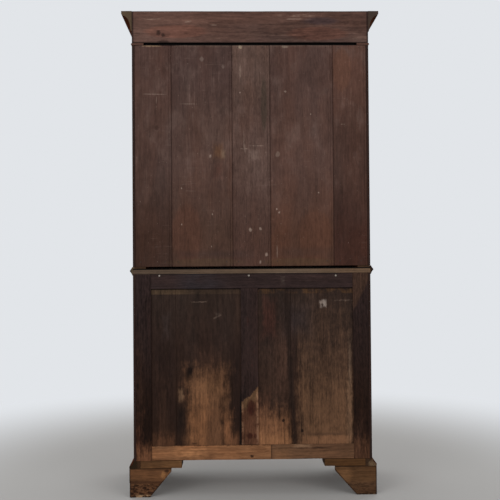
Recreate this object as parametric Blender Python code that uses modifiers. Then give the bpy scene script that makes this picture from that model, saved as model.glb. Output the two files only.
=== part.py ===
"""Two-stage bookcase cabinet: glazed doors over panelled doors, boarded and panelled back, bracket feet.

Metres, +Z up, the front faces -Y. Left and right in the names are as seen from the front.
"""
import math

import bmesh
import bpy
from mathutils import Matrix, Vector

for old in list(bpy.data.objects):
    bpy.data.objects.remove(old, do_unlink=True)

# Carcase sizes; both stages share one width and one depth, measured to the front of the doors
CARCASE_WIDTH = 1.020
CARCASE_DEPTH = 0.400
SIDE_THICK = 0.022
SIDE_LIP = 0.010
BOARD_THICK = 0.020
SHELF_THICK = 0.018
SHELF_SETBACK = 0.016
HOUSING_DEPTH = 0.007
SEAT_GAP = 0.0003

# Heights of the stages from the floor up
FOOT_HEIGHT = 0.122
BASE_HEIGHT = 0.032
LOWER_HEIGHT = 0.797
LOWER_TOP_THICK = 0.023
WAIST_LIP = 0.008
UPPER_HEIGHT = 0.953
NECK_HEIGHT = 0.010
CORNICE_HEIGHT = 0.138

# The three mitred mouldings: how far each stands out and how wide its flat seat is
CORNICE_OVERHANG = 0.045
FRIEZE_HEIGHT = 0.052
FRIEZE_THICK = 0.020
NECK_SEAT = 0.050
NECK_NOSE = 0.004
CORNICE_BACK_THICK = 0.018
WAIST_OVERHANG = 0.013
WAIST_SEAT = 0.055
WAIST_DROP = 0.005
BASE_OVERHANG = 0.019
BASE_SEAT = 0.028
BASE_FILLET = 0.010

# Upper back: five matched boards, the outer two take what the middle three leave
MIDDLE_BOARD_WIDTHS = (0.272, 0.163, 0.261)
MIDDLE_BOARDS_SHIFT = -0.006
BACK_BOARD_THICK = 0.014
BOARD_TONGUE = 0.006
BOARD_TONGUE_THICK = 0.005
BOARD_EDGE_EASE = 0.002
SHELF_GROOVES = 8
SHELF_GROOVES_USED = (3, 6)

# Lower back: frame and panel
BACK_FRAME_THICK = 0.021
BACK_STILE_WIDTH = 0.067
BACK_MUNTIN_WIDTH = 0.073
BACK_MUNTIN_SHIFT = 0.013
BACK_TOP_RAIL_WIDTH = 0.0635
BACK_BOTTOM_RAIL_WIDTH = 0.0645
BACK_RAIL_SPLICE_X = -0.076
BACK_PANEL_THICK = 0.010
BACK_PANEL_INSET = 0.005
BACK_PANEL_TONGUE = 0.009
BACK_PANEL_BEVEL_HEIGHT = 0.025
BACK_PANEL_BEVEL_DEPTH = 0.004
RAIL_HAUNCH = 0.012

# Doors, all four hung on the front edges of the sides
DOOR_THICK = 0.024
DOOR_SEAT = 0.0012
DOOR_CLEARANCE = 0.0025
MEETING_GAP = 0.003
GLAZED_STILE_WIDTH = 0.052
GLAZED_TOP_RAIL_WIDTH = 0.055
GLAZED_BOTTOM_RAIL_WIDTH = 0.072
GLAZING_BAR_WIDTH = 0.014
GLAZING_BAR_DEPTH = 0.013
GLASS_REBATE = 0.007
GLASS_THICK = 0.003
GLASS_CENTRE_HALF_WIDTH = 0.082
GLASS_CENTRE_HALF_HEIGHT = 0.175
GLASS_POINT_RISE = 0.105
PANEL_STILE_WIDTH = 0.070
PANEL_TOP_RAIL_WIDTH = 0.072
PANEL_BOTTOM_RAIL_WIDTH = 0.085
PANEL_EDGE_THICK = 0.007
PANEL_TONGUE = 0.009
PANEL_MARGIN = 0.004
PANEL_BEVEL_WIDTH = 0.034
PANEL_RAISE = 0.006
PANEL_FIELD_STEP = 0.0015
PANEL_FACE_INSET = 0.010

# Brass butt hinges, two to a door
HINGE_LENGTH = 0.064
HINGE_END_DISTANCE = 0.110
LEAF_WIDTH = 0.017
LEAF_THICK = 0.0016
KNUCKLE_RADIUS = 0.0036
KNUCKLE_STAND_OFF = 0.0005
KNUCKLE_GAP = 0.0004
PIN_RADIUS = 0.0017
PIN_CLEARANCE = 0.0004
PIN_END = 0.0012
ROUND_STEPS = 20

# Turn catches: knob, spindle and tongue in one
KNOB_RADIUS = 0.0115
KNOB_REACH = 0.030
ROSE_RADIUS = 0.012
ROSE_THICK = 0.003
SPINDLE_RADIUS = 0.0035
SPINDLE_CLEARANCE = 0.0005
TONGUE_LENGTH = 0.044
TONGUE_WIDTH = 0.012
TONGUE_THICK = 0.0026
TONGUE_CLEARANCE = 0.0012
UPPER_CATCH_RISE = 0.430
LOWER_CATCH_RISE = 0.520

# Feet and their rear blocks
BRACKET_THICK = 0.022
REAR_BRACKET_LENGTH = 0.178
REAR_BRACKET_FOOT = 0.086
REAR_BRACKET_NOSE = 0.019
SHAPED_BRACKET_LENGTH = 0.165
SHAPED_BRACKET_FOOT = 0.072
SHAPED_BRACKET_NOSE = 0.020
BLOCK_LENGTH = 0.176
BLOCK_DEPTH = 0.090

# Levels and planes that follow from the sizes
HALF = CARCASE_WIDTH / 2
BACK_Y = (CARCASE_DEPTH + CORNICE_OVERHANG) / 2
FRONT_Y = BACK_Y - CARCASE_DEPTH
DOOR_BACK_Y = FRONT_Y + DOOR_THICK
EDGE_Y = DOOR_BACK_Y + DOOR_SEAT
INNER = HALF - SIDE_THICK
Z_LOWER = FOOT_HEIGHT + BASE_HEIGHT
Z_LOWER_TOP = Z_LOWER + LOWER_HEIGHT
Z_WAIST = Z_LOWER_TOP + LOWER_TOP_THICK
Z_UPPER = Z_WAIST + WAIST_LIP
Z_UPPER_TOP = Z_UPPER + UPPER_HEIGHT
Z_CORNICE = Z_UPPER_TOP + NECK_HEIGHT
Z_TOP = Z_CORNICE + CORNICE_HEIGHT
OVERRUN = 0.002

PARTS = bpy.data.collections.new("bookcase_cabinet")
CUTTERS = bpy.data.collections.new("joinery_cutters")
for group in (PARTS, CUTTERS):
    bpy.context.scene.collection.children.link(group)


def principled(name, colour, roughness, metallic=0.0, alpha=1.0):
    """A plain material for one kind of stuff."""
    made = bpy.data.materials.new(name)
    made.use_nodes = True
    shader = made.node_tree.nodes["Principled BSDF"]
    shader.inputs["Base Color"].default_value = (*colour, 1.0)
    shader.inputs["Roughness"].default_value = roughness
    shader.inputs["Metallic"].default_value = metallic
    shader.inputs["Alpha"].default_value = alpha
    made.diffuse_color = (*colour, alpha)
    return made


SHOW_WOOD = principled("polished_show_wood", (0.150, 0.058, 0.026), 0.35)
BACK_WOOD = principled("stained_back_wood", (0.060, 0.034, 0.024), 0.65)
PLAIN_WOOD = principled("plain_inside_wood", (0.210, 0.120, 0.060), 0.60)
BRASS = principled("brass", (0.520, 0.340, 0.110), 0.30, metallic=1.0)
GLASS = principled("glass", (0.800, 0.850, 0.830), 0.05, alpha=0.25)


def box_mesh(name, boxes):
    """One mesh with a box for every pair of opposite corners."""
    body = bmesh.new()
    for low, high in boxes:
        low, high = Vector(low), Vector(high)
        shape = Matrix.Translation((low + high) / 2) @ Matrix.Diagonal((*(high - low), 1.0))
        bmesh.ops.create_cube(body, size=1.0, matrix=shape)
    mesh = bpy.data.meshes.new(name)
    body.to_mesh(mesh)
    body.free()
    return mesh


def prism_mesh(name, outlines, low, high, along):
    """A flat outline with any holes, carried from low to high along one axis."""
    curve = bpy.data.curves.new(name, "CURVE")
    curve.dimensions = "2D"
    curve.fill_mode = "BOTH"
    curve.extrude = (high - low) / 2
    curve.render_resolution_u = 0
    for points in outlines:
        spline = curve.splines.new("POLY")
        spline.points.add(len(points) - 1)
        spline.use_cyclic_u = True
        for spot, (across, up) in zip(spline.points, points):
            spot.co = (across, up, 0.0, 1.0)
    shape = bpy.data.objects.new(name, curve)
    mesh = settled_mesh(shape)
    turn = {
        "X": Matrix(((0, 0, 1, 0), (1, 0, 0, 0), (0, 1, 0, 0), (0, 0, 0, 1))),
        "Y": Matrix.Rotation(math.pi / 2, 4, "X"),
        "Z": Matrix.Identity(4),
    }[along]
    mid = (low + high) / 2
    shift = Vector((mid if along == "X" else 0.0, mid if along == "Y" else 0.0, mid if along == "Z" else 0.0))
    mesh.transform(Matrix.Translation(shift) @ turn)
    bpy.data.curves.remove(curve)
    return mesh


def settled_mesh(shape):
    """The welded mesh that an object and its modifiers come to; the object itself is dropped."""
    if not shape.users_collection:
        CUTTERS.objects.link(shape)
    bpy.context.view_layer.update()
    graph = bpy.context.evaluated_depsgraph_get()
    mesh = bpy.data.meshes.new_from_object(shape.evaluated_get(graph))
    body = bmesh.new()
    body.from_mesh(mesh)
    bmesh.ops.remove_doubles(body, verts=body.verts, dist=1e-6)
    body.to_mesh(mesh)
    body.free()
    bpy.data.objects.remove(shape, do_unlink=True)
    return mesh


def part(name, mesh, material, parent=None, at=None):
    """Give a mesh made in the cabinet's own frame its object, material and origin."""
    if at is None:
        spots = [vertex.co for vertex in mesh.vertices]
        lows = Vector([min(spot[axis] for spot in spots) for axis in range(3)])
        highs = Vector([max(spot[axis] for spot in spots) for axis in range(3)])
        at = (lows + highs) / 2
        mesh.transform(Matrix.Translation(-at))
    mesh.materials.clear()
    mesh.materials.append(material)
    made = bpy.data.objects.new(name, mesh)
    made.location = at - parent.location if parent else at
    made.parent = parent
    PARTS.objects.link(made)
    return made


def joinery(target, operation, mesh):
    """Cut a mesh from a part, or add it, with the tool kept as a hidden guide."""
    tool = bpy.data.objects.new(target.name + "_tool", mesh)
    tool.hide_render = True
    tool.display_type = "WIRE"
    CUTTERS.objects.link(tool)
    step = target.modifiers.new(operation.lower(), "BOOLEAN")
    step.operation = operation
    step.solver = "EXACT"
    step.object = tool
    return target


def board(name, low, high, material, parent=None, add=(), cut=()):
    """A sawn board with its tenons added and its rebates, grooves and housings cut."""
    made = part(name, box_mesh(name, [(low, high)]), material, parent)
    for boxes in add:
        joinery(made, "UNION", box_mesh(name, boxes))
    for boxes in cut:
        joinery(made, "DIFFERENCE", box_mesh(name, boxes))
    return made


def round_mesh(name, radius, low, high, spot):
    """A round bar along Z through one spot of the plan."""
    body = bmesh.new()
    shape = Matrix.Translation((spot[0], spot[1], (low + high) / 2))
    bmesh.ops.create_cone(
        body, cap_ends=True, segments=ROUND_STEPS, radius1=radius, radius2=radius, depth=high - low, matrix=shape
    )
    mesh = bpy.data.meshes.new(name)
    body.to_mesh(mesh)
    body.free()
    return mesh


def mirrored(low, high, side):
    """The box between two corners, or its mirror image for the left hand side."""
    if side > 0:
        return low, high
    return (-high[0], low[1], low[2]), (-low[0], high[1], high[2])


def arc(centre, radii, start, end, steps):
    """Points on an elliptical arc, both ends included, angles in degrees."""
    spots = []
    for step in range(steps + 1):
        angle = math.radians(start + (end - start) * step / steps)
        spots.append((centre[0] + radii[0] * math.cos(angle), centre[1] + radii[1] * math.sin(angle)))
    return spots


def mitred_frame(name, profile, base):
    """Sweep a moulding section of (out, up) points round the two ends and the front, mitred at the corners."""
    body = bmesh.new()
    rings = []
    for side, turn, y in ((-1, 0, BACK_Y), (-1, -1, FRONT_Y), (1, -1, FRONT_Y), (1, 0, BACK_Y)):
        rings.append([body.verts.new((side * (HALF + out), y + turn * out, base + up)) for out, up in profile])
    for ring, following in zip(rings, rings[1:]):
        for spot in range(len(profile)):
            after = (spot + 1) % len(profile)
            body.faces.new((ring[spot], ring[after], following[after], following[spot]))
    body.faces.new(rings[0])
    body.faces.new(rings[-1])
    bmesh.ops.recalc_face_normals(body, faces=body.faces)
    mesh = bpy.data.meshes.new(name)
    body.to_mesh(mesh)
    body.free()
    return part(name, mesh, SHOW_WOOD)


# Feet: the rear ones have a plain diagonal bracket at the back, the rest are shaped
def shaped_bracket():
    """Outline of a shaped bracket from its corner at the origin."""
    reach = SHAPED_BRACKET_LENGTH - SHAPED_BRACKET_FOOT - SHAPED_BRACKET_NOSE / 2
    rise = FOOT_HEIGHT - SHAPED_BRACKET_NOSE
    points = [(0.0, 0.0), (SHAPED_BRACKET_FOOT, 0.0)]
    for step in range(1, 10):
        share = step / 9
        sweep = 0.5 - 0.5 * math.cos(math.pi * share)
        points.append((SHAPED_BRACKET_FOOT + reach * share, rise * sweep))
    points += [(SHAPED_BRACKET_LENGTH, rise), (SHAPED_BRACKET_LENGTH, FOOT_HEIGHT), (0.0, FOOT_HEIGHT)]
    return points


def plain_bracket():
    """Outline of a rear bracket from its corner at the origin."""
    return [
        (0.0, 0.0),
        (REAR_BRACKET_FOOT, 0.0),
        (REAR_BRACKET_LENGTH, FOOT_HEIGHT - REAR_BRACKET_NOSE),
        (REAR_BRACKET_LENGTH, FOOT_HEIGHT),
        (0.0, FOOT_HEIGHT),
    ]


def foot(name, side, front):
    """Two brackets glued round one corner of the base."""
    outer = HALF + BASE_OVERHANG
    corner = FRONT_Y - BASE_OVERHANG if front else BACK_Y
    inward = 1 if front else -1
    face = shaped_bracket() if front else plain_bracket()
    along_x = [(side * (outer - run), up) for run, up in face]
    near, far = sorted((corner, corner + inward * BRACKET_THICK))
    made = part(name, prism_mesh(name, [along_x], near, far, "Y"), SHOW_WOOD)
    along_y = [(corner + inward * max(run, BRACKET_THICK / 2), up) for run, up in shaped_bracket()]
    near, far = sorted((side * outer, side * (outer - BRACKET_THICK)))
    return joinery(made, "UNION", prism_mesh(name, [along_y], near, far, "X"))


for word, side in (("left", -1), ("right", 1)):
    foot(f"front_{word}_foot", side, True)
    foot(f"rear_{word}_foot", side, False)
    block_end = HALF - BASE_SEAT - SEAT_GAP
    low = (block_end - BLOCK_LENGTH, BACK_Y - BLOCK_DEPTH, FOOT_HEIGHT + SEAT_GAP)
    high = (block_end, BACK_Y, Z_LOWER)
    board(f"rear_{word}_foot_block", *mirrored(low, high, side), BACK_WOOD)

# Base moulding: a fillet and a hollow, open at the back
hollow = arc(
    (BASE_OVERHANG - 0.001, BASE_HEIGHT - 0.003),
    (BASE_OVERHANG - 0.004, BASE_HEIGHT - 0.003 - BASE_FILLET - 0.001),
    270,
    180,
    6,
)
base_section = [(-BASE_SEAT, 0.0), (BASE_OVERHANG, 0.0), (BASE_OVERHANG, BASE_FILLET)]
base_section += hollow + [(0.003, BASE_HEIGHT - SEAT_GAP), (-BASE_SEAT, BASE_HEIGHT - SEAT_GAP)]
mitred_frame("base_moulding", base_section, FOOT_HEIGHT + SEAT_GAP)


# Lower stage
def hinge_gains(z_low, z_high, near, far):
    """Recesses for the two hinge leaves of one door, on the right hand side."""
    gains = []
    for level in (z_low + HINGE_END_DISTANCE, z_high - HINGE_END_DISTANCE):
        low = (HALF - LEAF_WIDTH - SEAT_GAP, near, level - HINGE_LENGTH / 2 - SEAT_GAP)
        high = (HALF + OVERRUN, far, level + HINGE_LENGTH / 2 + SEAT_GAP)
        gains.append((low, high))
    return gains


def side_board(name, side, z_low, z_high, back_thick, housings, door_low, door_high):
    """One carcase side: rear rebate, housings for the boards and shelves, and hinge recesses."""
    low = (INNER, EDGE_Y, z_low + SEAT_GAP)
    high = (HALF, BACK_Y, z_high)
    rebate = (
        (INNER - OVERRUN, BACK_Y - back_thick, z_low - OVERRUN),
        (HALF - SIDE_LIP, BACK_Y + OVERRUN, z_high + OVERRUN),
    )
    grooves = []
    for bottom, top, front in housings:
        grooves.append(
            ((INNER - OVERRUN, front, bottom), (INNER + HOUSING_DEPTH, BACK_Y - back_thick + OVERRUN, top))
        )
    gains = hinge_gains(door_low, door_high, EDGE_Y - OVERRUN, EDGE_Y + LEAF_THICK + SEAT_GAP)
    cuts = [[mirrored(*box, side) for box in boxes] for boxes in ([rebate], grooves, gains)]
    return board(name, *mirrored(low, high, side), SHOW_WOOD, cut=cuts)


SPAN = INNER + HOUSING_DEPTH - SEAT_GAP
LOWER_FLOOR = Z_LOWER + SEAT_GAP + BOARD_THICK
LOWER_INSIDE_Y = BACK_Y - BACK_FRAME_THICK - SEAT_GAP
LOWER_DOOR_LOW = Z_LOWER + DOOR_CLEARANCE
LOWER_DOOR_HIGH = Z_LOWER_TOP - WAIST_DROP - DOOR_CLEARANCE
lower_shelf_z = (LOWER_FLOOR + Z_LOWER_TOP - SHELF_THICK) / 2
lower_housings = [
    (Z_LOWER - OVERRUN, LOWER_FLOOR + SEAT_GAP, EDGE_Y - OVERRUN),
    (lower_shelf_z - SEAT_GAP, lower_shelf_z + SHELF_THICK + SEAT_GAP, EDGE_Y + SHELF_SETBACK - SEAT_GAP),
]
for word, side in (("left", -1), ("right", 1)):
    side_board(
        f"lower_{word}_side",
        side,
        Z_LOWER,
        Z_LOWER_TOP,
        BACK_FRAME_THICK,
        lower_housings,
        LOWER_DOOR_LOW,
        LOWER_DOOR_HIGH,
    )
board("lower_bottom_board", (-SPAN, EDGE_Y, Z_LOWER + SEAT_GAP), (SPAN, LOWER_INSIDE_Y, LOWER_FLOOR), PLAIN_WOOD)
board(
    "lower_shelf",
    (-SPAN, EDGE_Y + SHELF_SETBACK, lower_shelf_z),
    (SPAN, LOWER_INSIDE_Y, lower_shelf_z + SHELF_THICK),
    PLAIN_WOOD,
)
board("lower_top_board", (-HALF, FRONT_Y, Z_LOWER_TOP + SEAT_GAP), (HALF, BACK_Y, Z_WAIST), PLAIN_WOOD)

# Lower back: two stiles, a muntin, a top rail, a spliced bottom rail and two panels in their grooves
STILE_OUT = HALF - SIDE_LIP - SEAT_GAP
STILE_IN = STILE_OUT - BACK_STILE_WIDTH
FRAME_Y = BACK_Y - BACK_FRAME_THICK
BACK_LOW = Z_LOWER + SEAT_GAP
RAIL_TOP = BACK_LOW + BACK_BOTTOM_RAIL_WIDTH
RAIL_UNDER = Z_LOWER_TOP - BACK_TOP_RAIL_WIDTH
PANEL_REAR_Y = BACK_Y - BACK_PANEL_INSET
PANEL_FRONT_Y = PANEL_REAR_Y - BACK_PANEL_THICK
MUNTIN_LOW_X = BACK_MUNTIN_SHIFT - BACK_MUNTIN_WIDTH / 2
MUNTIN_HIGH_X = BACK_MUNTIN_SHIFT + BACK_MUNTIN_WIDTH / 2
tenon_reach = BACK_PANEL_TONGUE - SEAT_GAP


def grown(box, gap=SEAT_GAP):
    """A box let out on every side by a clearance."""
    low, high = box
    return tuple(value - gap for value in low), tuple(value + gap for value in high)


def tenon(low_x, high_x, low_z, high_z):
    """A stub tenon in line with the panel groove."""
    return (low_x, PANEL_FRONT_Y, low_z), (high_x, PANEL_REAR_Y, high_z)


panel_low_z = RAIL_TOP - tenon_reach
panel_high_z = RAIL_UNDER + tenon_reach
panel_spans = {
    "left": (-STILE_IN - tenon_reach, MUNTIN_LOW_X + tenon_reach),
    "right": (MUNTIN_HIGH_X - tenon_reach, STILE_IN + tenon_reach),
}
panel_grooves = [
    grown(((low_x, PANEL_FRONT_Y, panel_low_z), (high_x, PANEL_REAR_Y, panel_high_z)))
    for low_x, high_x in panel_spans.values()
]
rail_end = STILE_IN - SEAT_GAP
end_tenons = []
for side in (-1, 1):
    for low_z, high_z in ((BACK_LOW + RAIL_HAUNCH, RAIL_TOP), (RAIL_UNDER, Z_LOWER_TOP - RAIL_HAUNCH)):
        box = tenon(rail_end - OVERRUN, STILE_IN + tenon_reach, low_z, high_z)
        end_tenons.append(mirrored(*box, side))
left_bottom_tenon, left_top_tenon, right_bottom_tenon, right_top_tenon = end_tenons
muntin_tenons = [
    tenon(MUNTIN_LOW_X + RAIL_HAUNCH, MUNTIN_HIGH_X - RAIL_HAUNCH, low_z, high_z)
    for low_z, high_z in (
        (RAIL_TOP - tenon_reach, RAIL_TOP + OVERRUN),
        (RAIL_UNDER - OVERRUN, RAIL_UNDER + tenon_reach),
    )
]
for word, side in (("left", -1), ("right", 1)):
    low, high = mirrored((STILE_IN, FRAME_Y, BACK_LOW), (STILE_OUT, BACK_Y, Z_LOWER_TOP), side)
    board(
        f"lower_back_{word}_stile",
        low,
        high,
        BACK_WOOD,
        cut=[panel_grooves, [grown(box) for box in end_tenons]],
    )
board(
    "lower_back_muntin",
    (MUNTIN_LOW_X, FRAME_Y, RAIL_TOP + SEAT_GAP),
    (MUNTIN_HIGH_X, BACK_Y, RAIL_UNDER - SEAT_GAP),
    BACK_WOOD,
    add=[muntin_tenons],
    cut=[panel_grooves],
)
rail_cuts = [panel_grooves, [grown(box) for box in muntin_tenons]]
board(
    "lower_back_top_rail",
    (-rail_end, FRAME_Y, RAIL_UNDER),
    (rail_end, BACK_Y, Z_LOWER_TOP),
    BACK_WOOD,
    add=[[left_top_tenon, right_top_tenon]],
    cut=rail_cuts,
)
board(
    "lower_back_bottom_rail_left",
    (-rail_end, FRAME_Y, BACK_LOW),
    (BACK_RAIL_SPLICE_X - SEAT_GAP, BACK_Y, RAIL_TOP),
    BACK_WOOD,
    add=[[left_bottom_tenon]],
    cut=rail_cuts,
)
board(
    "lower_back_bottom_rail_right",
    (BACK_RAIL_SPLICE_X, FRAME_Y, BACK_LOW),
    (rail_end, BACK_Y, RAIL_TOP),
    BACK_WOOD,
    add=[[right_bottom_tenon]],
    cut=rail_cuts,
)
bevel_z = RAIL_UNDER - BACK_PANEL_BEVEL_HEIGHT
for word, (low_x, high_x) in panel_spans.items():
    section = [
        (PANEL_FRONT_Y, panel_low_z),
        (PANEL_REAR_Y, panel_low_z),
        (PANEL_REAR_Y, bevel_z),
        (PANEL_REAR_Y - BACK_PANEL_BEVEL_DEPTH, panel_high_z),
        (PANEL_FRONT_Y, panel_high_z),
    ]
    name = f"lower_back_{word}_panel"
    part(name, prism_mesh(name, [section], low_x, high_x, "X"), BACK_WOOD)

# Waist moulding: a rounded nosing round the lower top with a flat lip that carries the upper stage
nose_height = WAIST_DROP + LOWER_TOP_THICK + WAIST_LIP
nose = arc((0.002, nose_height * 0.54 - WAIST_DROP), (WAIST_OVERHANG - 0.002, nose_height * 0.36), -80, 80, 8)
waist_section = [(SEAT_GAP, -WAIST_DROP), (0.003, -WAIST_DROP)] + nose
waist_section += [
    (0.002, LOWER_TOP_THICK + WAIST_LIP),
    (-WAIST_SEAT, LOWER_TOP_THICK + WAIST_LIP),
    (-WAIST_SEAT, LOWER_TOP_THICK + SEAT_GAP),
    (SEAT_GAP, LOWER_TOP_THICK + SEAT_GAP),
]
mitred_frame("waist_moulding", waist_section, Z_LOWER_TOP)

# Upper stage
UPPER_FLOOR = Z_UPPER + SEAT_GAP + BOARD_THICK
UPPER_CEILING = Z_UPPER_TOP - BOARD_THICK
UPPER_INSIDE_Y = BACK_Y - BACK_BOARD_THICK - SEAT_GAP
UPPER_DOOR_LOW = Z_UPPER + DOOR_CLEARANCE
UPPER_DOOR_HIGH = Z_UPPER_TOP - DOOR_CLEARANCE
groove_step = (UPPER_CEILING - UPPER_FLOOR - SHELF_THICK) / (SHELF_GROOVES + 1)
groove_levels = [UPPER_FLOOR + groove_step * (count + 1) for count in range(SHELF_GROOVES)]
upper_housings = [
    (Z_UPPER - OVERRUN, UPPER_FLOOR + SEAT_GAP, EDGE_Y - OVERRUN),
    (UPPER_CEILING - SEAT_GAP, Z_UPPER_TOP + OVERRUN, EDGE_Y - OVERRUN),
]
for level in groove_levels:
    upper_housings.append(
        (level - SEAT_GAP, level + SHELF_THICK + SEAT_GAP, EDGE_Y + SHELF_SETBACK - SEAT_GAP)
    )
for word, side in (("left", -1), ("right", 1)):
    side_board(
        f"upper_{word}_side",
        side,
        Z_UPPER,
        Z_UPPER_TOP,
        BACK_BOARD_THICK,
        upper_housings,
        UPPER_DOOR_LOW,
        UPPER_DOOR_HIGH,
    )
board("upper_bottom_board", (-SPAN, EDGE_Y, Z_UPPER + SEAT_GAP), (SPAN, UPPER_INSIDE_Y, UPPER_FLOOR), PLAIN_WOOD)
board("upper_top_board", (-SPAN, EDGE_Y, UPPER_CEILING), (SPAN, UPPER_INSIDE_Y, Z_UPPER_TOP), PLAIN_WOOD)
for number, groove in enumerate(SHELF_GROOVES_USED, 1):
    level = groove_levels[groove - 1]
    board(
        f"upper_shelf_{number}",
        (-SPAN, EDGE_Y + SHELF_SETBACK, level),
        (SPAN, UPPER_INSIDE_Y, level + SHELF_THICK),
        PLAIN_WOOD,
    )

# Upper back: matched boards, tongue towards the right hand side, eased at the joints
middle_width = sum(MIDDLE_BOARD_WIDTHS)
seams = [-HALF + SIDE_LIP, MIDDLE_BOARDS_SHIFT - middle_width / 2]
for width in MIDDLE_BOARD_WIDTHS:
    seams.append(seams[-1] + width)
seams.append(HALF - SIDE_LIP)


def matched_board(low_x, high_x, grooved, tongued):
    """Plan of a back board with a tongue on its high edge and a groove on its low one."""
    rear, near = BACK_Y, BACK_Y - BACK_BOARD_THICK
    mid = (rear + near) / 2
    half_tongue = BOARD_TONGUE_THICK / 2
    half_groove = half_tongue + SEAT_GAP
    low_x, high_x = low_x + SEAT_GAP / 2, high_x - SEAT_GAP / 2
    plan = [(low_x, near), (high_x, near)]
    if tongued:
        tip = high_x + BOARD_TONGUE
        plan += [(high_x, mid - half_tongue), (tip, mid - half_tongue)]
        plan += [(tip, mid + half_tongue), (high_x, mid + half_tongue)]
    plan += [(high_x, rear - BOARD_EDGE_EASE), (high_x - BOARD_EDGE_EASE, rear)]
    plan += [(low_x + BOARD_EDGE_EASE, rear), (low_x, rear - BOARD_EDGE_EASE)]
    if grooved:
        bed = low_x + BOARD_TONGUE + SEAT_GAP
        plan += [(low_x, mid + half_groove), (bed, mid + half_groove)]
        plan += [(bed, mid - half_groove), (low_x, mid - half_groove)]
    return plan


for number in range(1, 6):
    name = f"upper_back_board_{number}"
    plan = matched_board(seams[number - 1], seams[number], number > 1, number < 5)
    part(name, prism_mesh(name, [plan], Z_UPPER + SEAT_GAP, Z_UPPER_TOP, "Z"), BACK_WOOD)

# Cornice: neck bead, frieze, hollow and fillet; the back board is let in behind
crown_rise = NECK_HEIGHT + FRIEZE_HEIGHT
crown_height = CORNICE_HEIGHT - FRIEZE_HEIGHT
cornice_section = [(-NECK_SEAT, 0.0), (0.0, 0.0)]
cornice_section += arc((0.0, NECK_HEIGHT / 2), (NECK_NOSE, NECK_HEIGHT / 2 - 0.001), -80, 80, 4)
cornice_section += [(0.0, NECK_HEIGHT), (0.0, crown_rise), (0.004, crown_rise), (0.004, crown_rise + 0.005)]
cornice_section += arc(
    (CORNICE_OVERHANG - 0.006, crown_rise + 0.007),
    (CORNICE_OVERHANG - 0.012, crown_height - 0.027),
    180,
    90,
    8,
)
cornice_section += [
    (CORNICE_OVERHANG - 0.004, NECK_HEIGHT + CORNICE_HEIGHT - 0.020),
    (CORNICE_OVERHANG - 0.004, NECK_HEIGHT + CORNICE_HEIGHT - 0.014),
    (CORNICE_OVERHANG, NECK_HEIGHT + CORNICE_HEIGHT - 0.012),
    (CORNICE_OVERHANG, NECK_HEIGHT + CORNICE_HEIGHT),
    (-FRIEZE_THICK, NECK_HEIGHT + CORNICE_HEIGHT),
    (-FRIEZE_THICK, NECK_HEIGHT),
    (-NECK_SEAT, NECK_HEIGHT),
]
cornice_section = [(out, max(up, SEAT_GAP)) for out, up in cornice_section]
cornice = mitred_frame("cornice_moulding", cornice_section, Z_UPPER_TOP)
back_board_seat = BACK_Y - CORNICE_BACK_THICK
joinery(
    cornice,
    "DIFFERENCE",
    box_mesh(
        "cornice_notch",
        [((-HALF - SEAT_GAP, back_board_seat - SEAT_GAP, Z_CORNICE), (HALF + SEAT_GAP, BACK_Y + OVERRUN, Z_TOP + OVERRUN))],
    ),
)
board(
    "cornice_back_board",
    (-HALF, back_board_seat, Z_CORNICE + SEAT_GAP),
    (HALF, BACK_Y, Z_TOP),
    BACK_WOOD,
)


# Hinges: one pair of leaves drawn once round its pin and used on every door
AXIS_OUT = KNUCKLE_RADIUS + KNUCKLE_STAND_OFF
AXIS_X = HALF + AXIS_OUT
AXIS_Y = (DOOR_BACK_Y + EDGE_Y) / 2


def hinge_meshes():
    """The carcase leaf with its pin, and the door leaf, both about a pin on the Z axis."""
    tall, third = HINGE_LENGTH / 2, HINGE_LENGTH / 6
    inner = -AXIS_OUT - LEAF_WIDTH
    fixed_outline = [
        (inner, -tall),
        (0.0, -tall),
        (0.0, -third - KNUCKLE_GAP),
        (-AXIS_OUT, -third - KNUCKLE_GAP),
        (-AXIS_OUT, third + KNUCKLE_GAP),
        (0.0, third + KNUCKLE_GAP),
        (0.0, tall),
        (inner, tall),
    ]
    moving_outline = [
        (inner, -tall),
        (-AXIS_OUT, -tall),
        (-AXIS_OUT, -third),
        (0.0, -third),
        (0.0, third),
        (-AXIS_OUT, third),
        (-AXIS_OUT, tall),
        (inner, tall),
    ]
    near, far = DOOR_SEAT / 2, DOOR_SEAT / 2 + LEAF_THICK
    fixed = part("carcase_leaf", prism_mesh("carcase_leaf", [fixed_outline], near, far, "Y"), BRASS)
    joinery(fixed, "UNION", round_mesh("low_knuckle", KNUCKLE_RADIUS, -tall, -third - KNUCKLE_GAP, (0, 0)))
    joinery(fixed, "UNION", round_mesh("high_knuckle", KNUCKLE_RADIUS, third + KNUCKLE_GAP, tall, (0, 0)))
    joinery(fixed, "UNION", round_mesh("pin", PIN_RADIUS, -tall - PIN_END, tall + PIN_END, (0, 0)))
    moving = part("door_leaf", prism_mesh("door_leaf", [moving_outline], -far, -near, "Y"), BRASS)
    joinery(moving, "UNION", round_mesh("middle_knuckle", KNUCKLE_RADIUS, -third, third, (0, 0)))
    bore = round_mesh("bore", PIN_RADIUS + PIN_CLEARANCE, -third - OVERRUN, third + OVERRUN, (0, 0))
    joinery(moving, "DIFFERENCE", bore)
    meshes = []
    for leaf in (fixed, moving):
        shift = leaf.location.copy()
        mesh = settled_mesh(leaf)
        mesh.transform(Matrix.Translation(shift))
        meshes.append(mesh)
    for guide in [tool for tool in CUTTERS.objects if "_leaf_tool" in tool.name]:
        bpy.data.objects.remove(guide, do_unlink=True)
    return meshes


FIXED_LEAF, MOVING_LEAF = hinge_meshes()


def pivot(name, spot, parent=None):
    """An empty on a joint's axis that carries the moving pieces."""
    made = bpy.data.objects.new(name, None)
    made.empty_display_size = 0.05
    made.location = Vector(spot) - (parent.location if parent else Vector())
    made.parent = parent
    PARTS.objects.link(made)
    bpy.context.view_layer.update()
    return made


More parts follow.
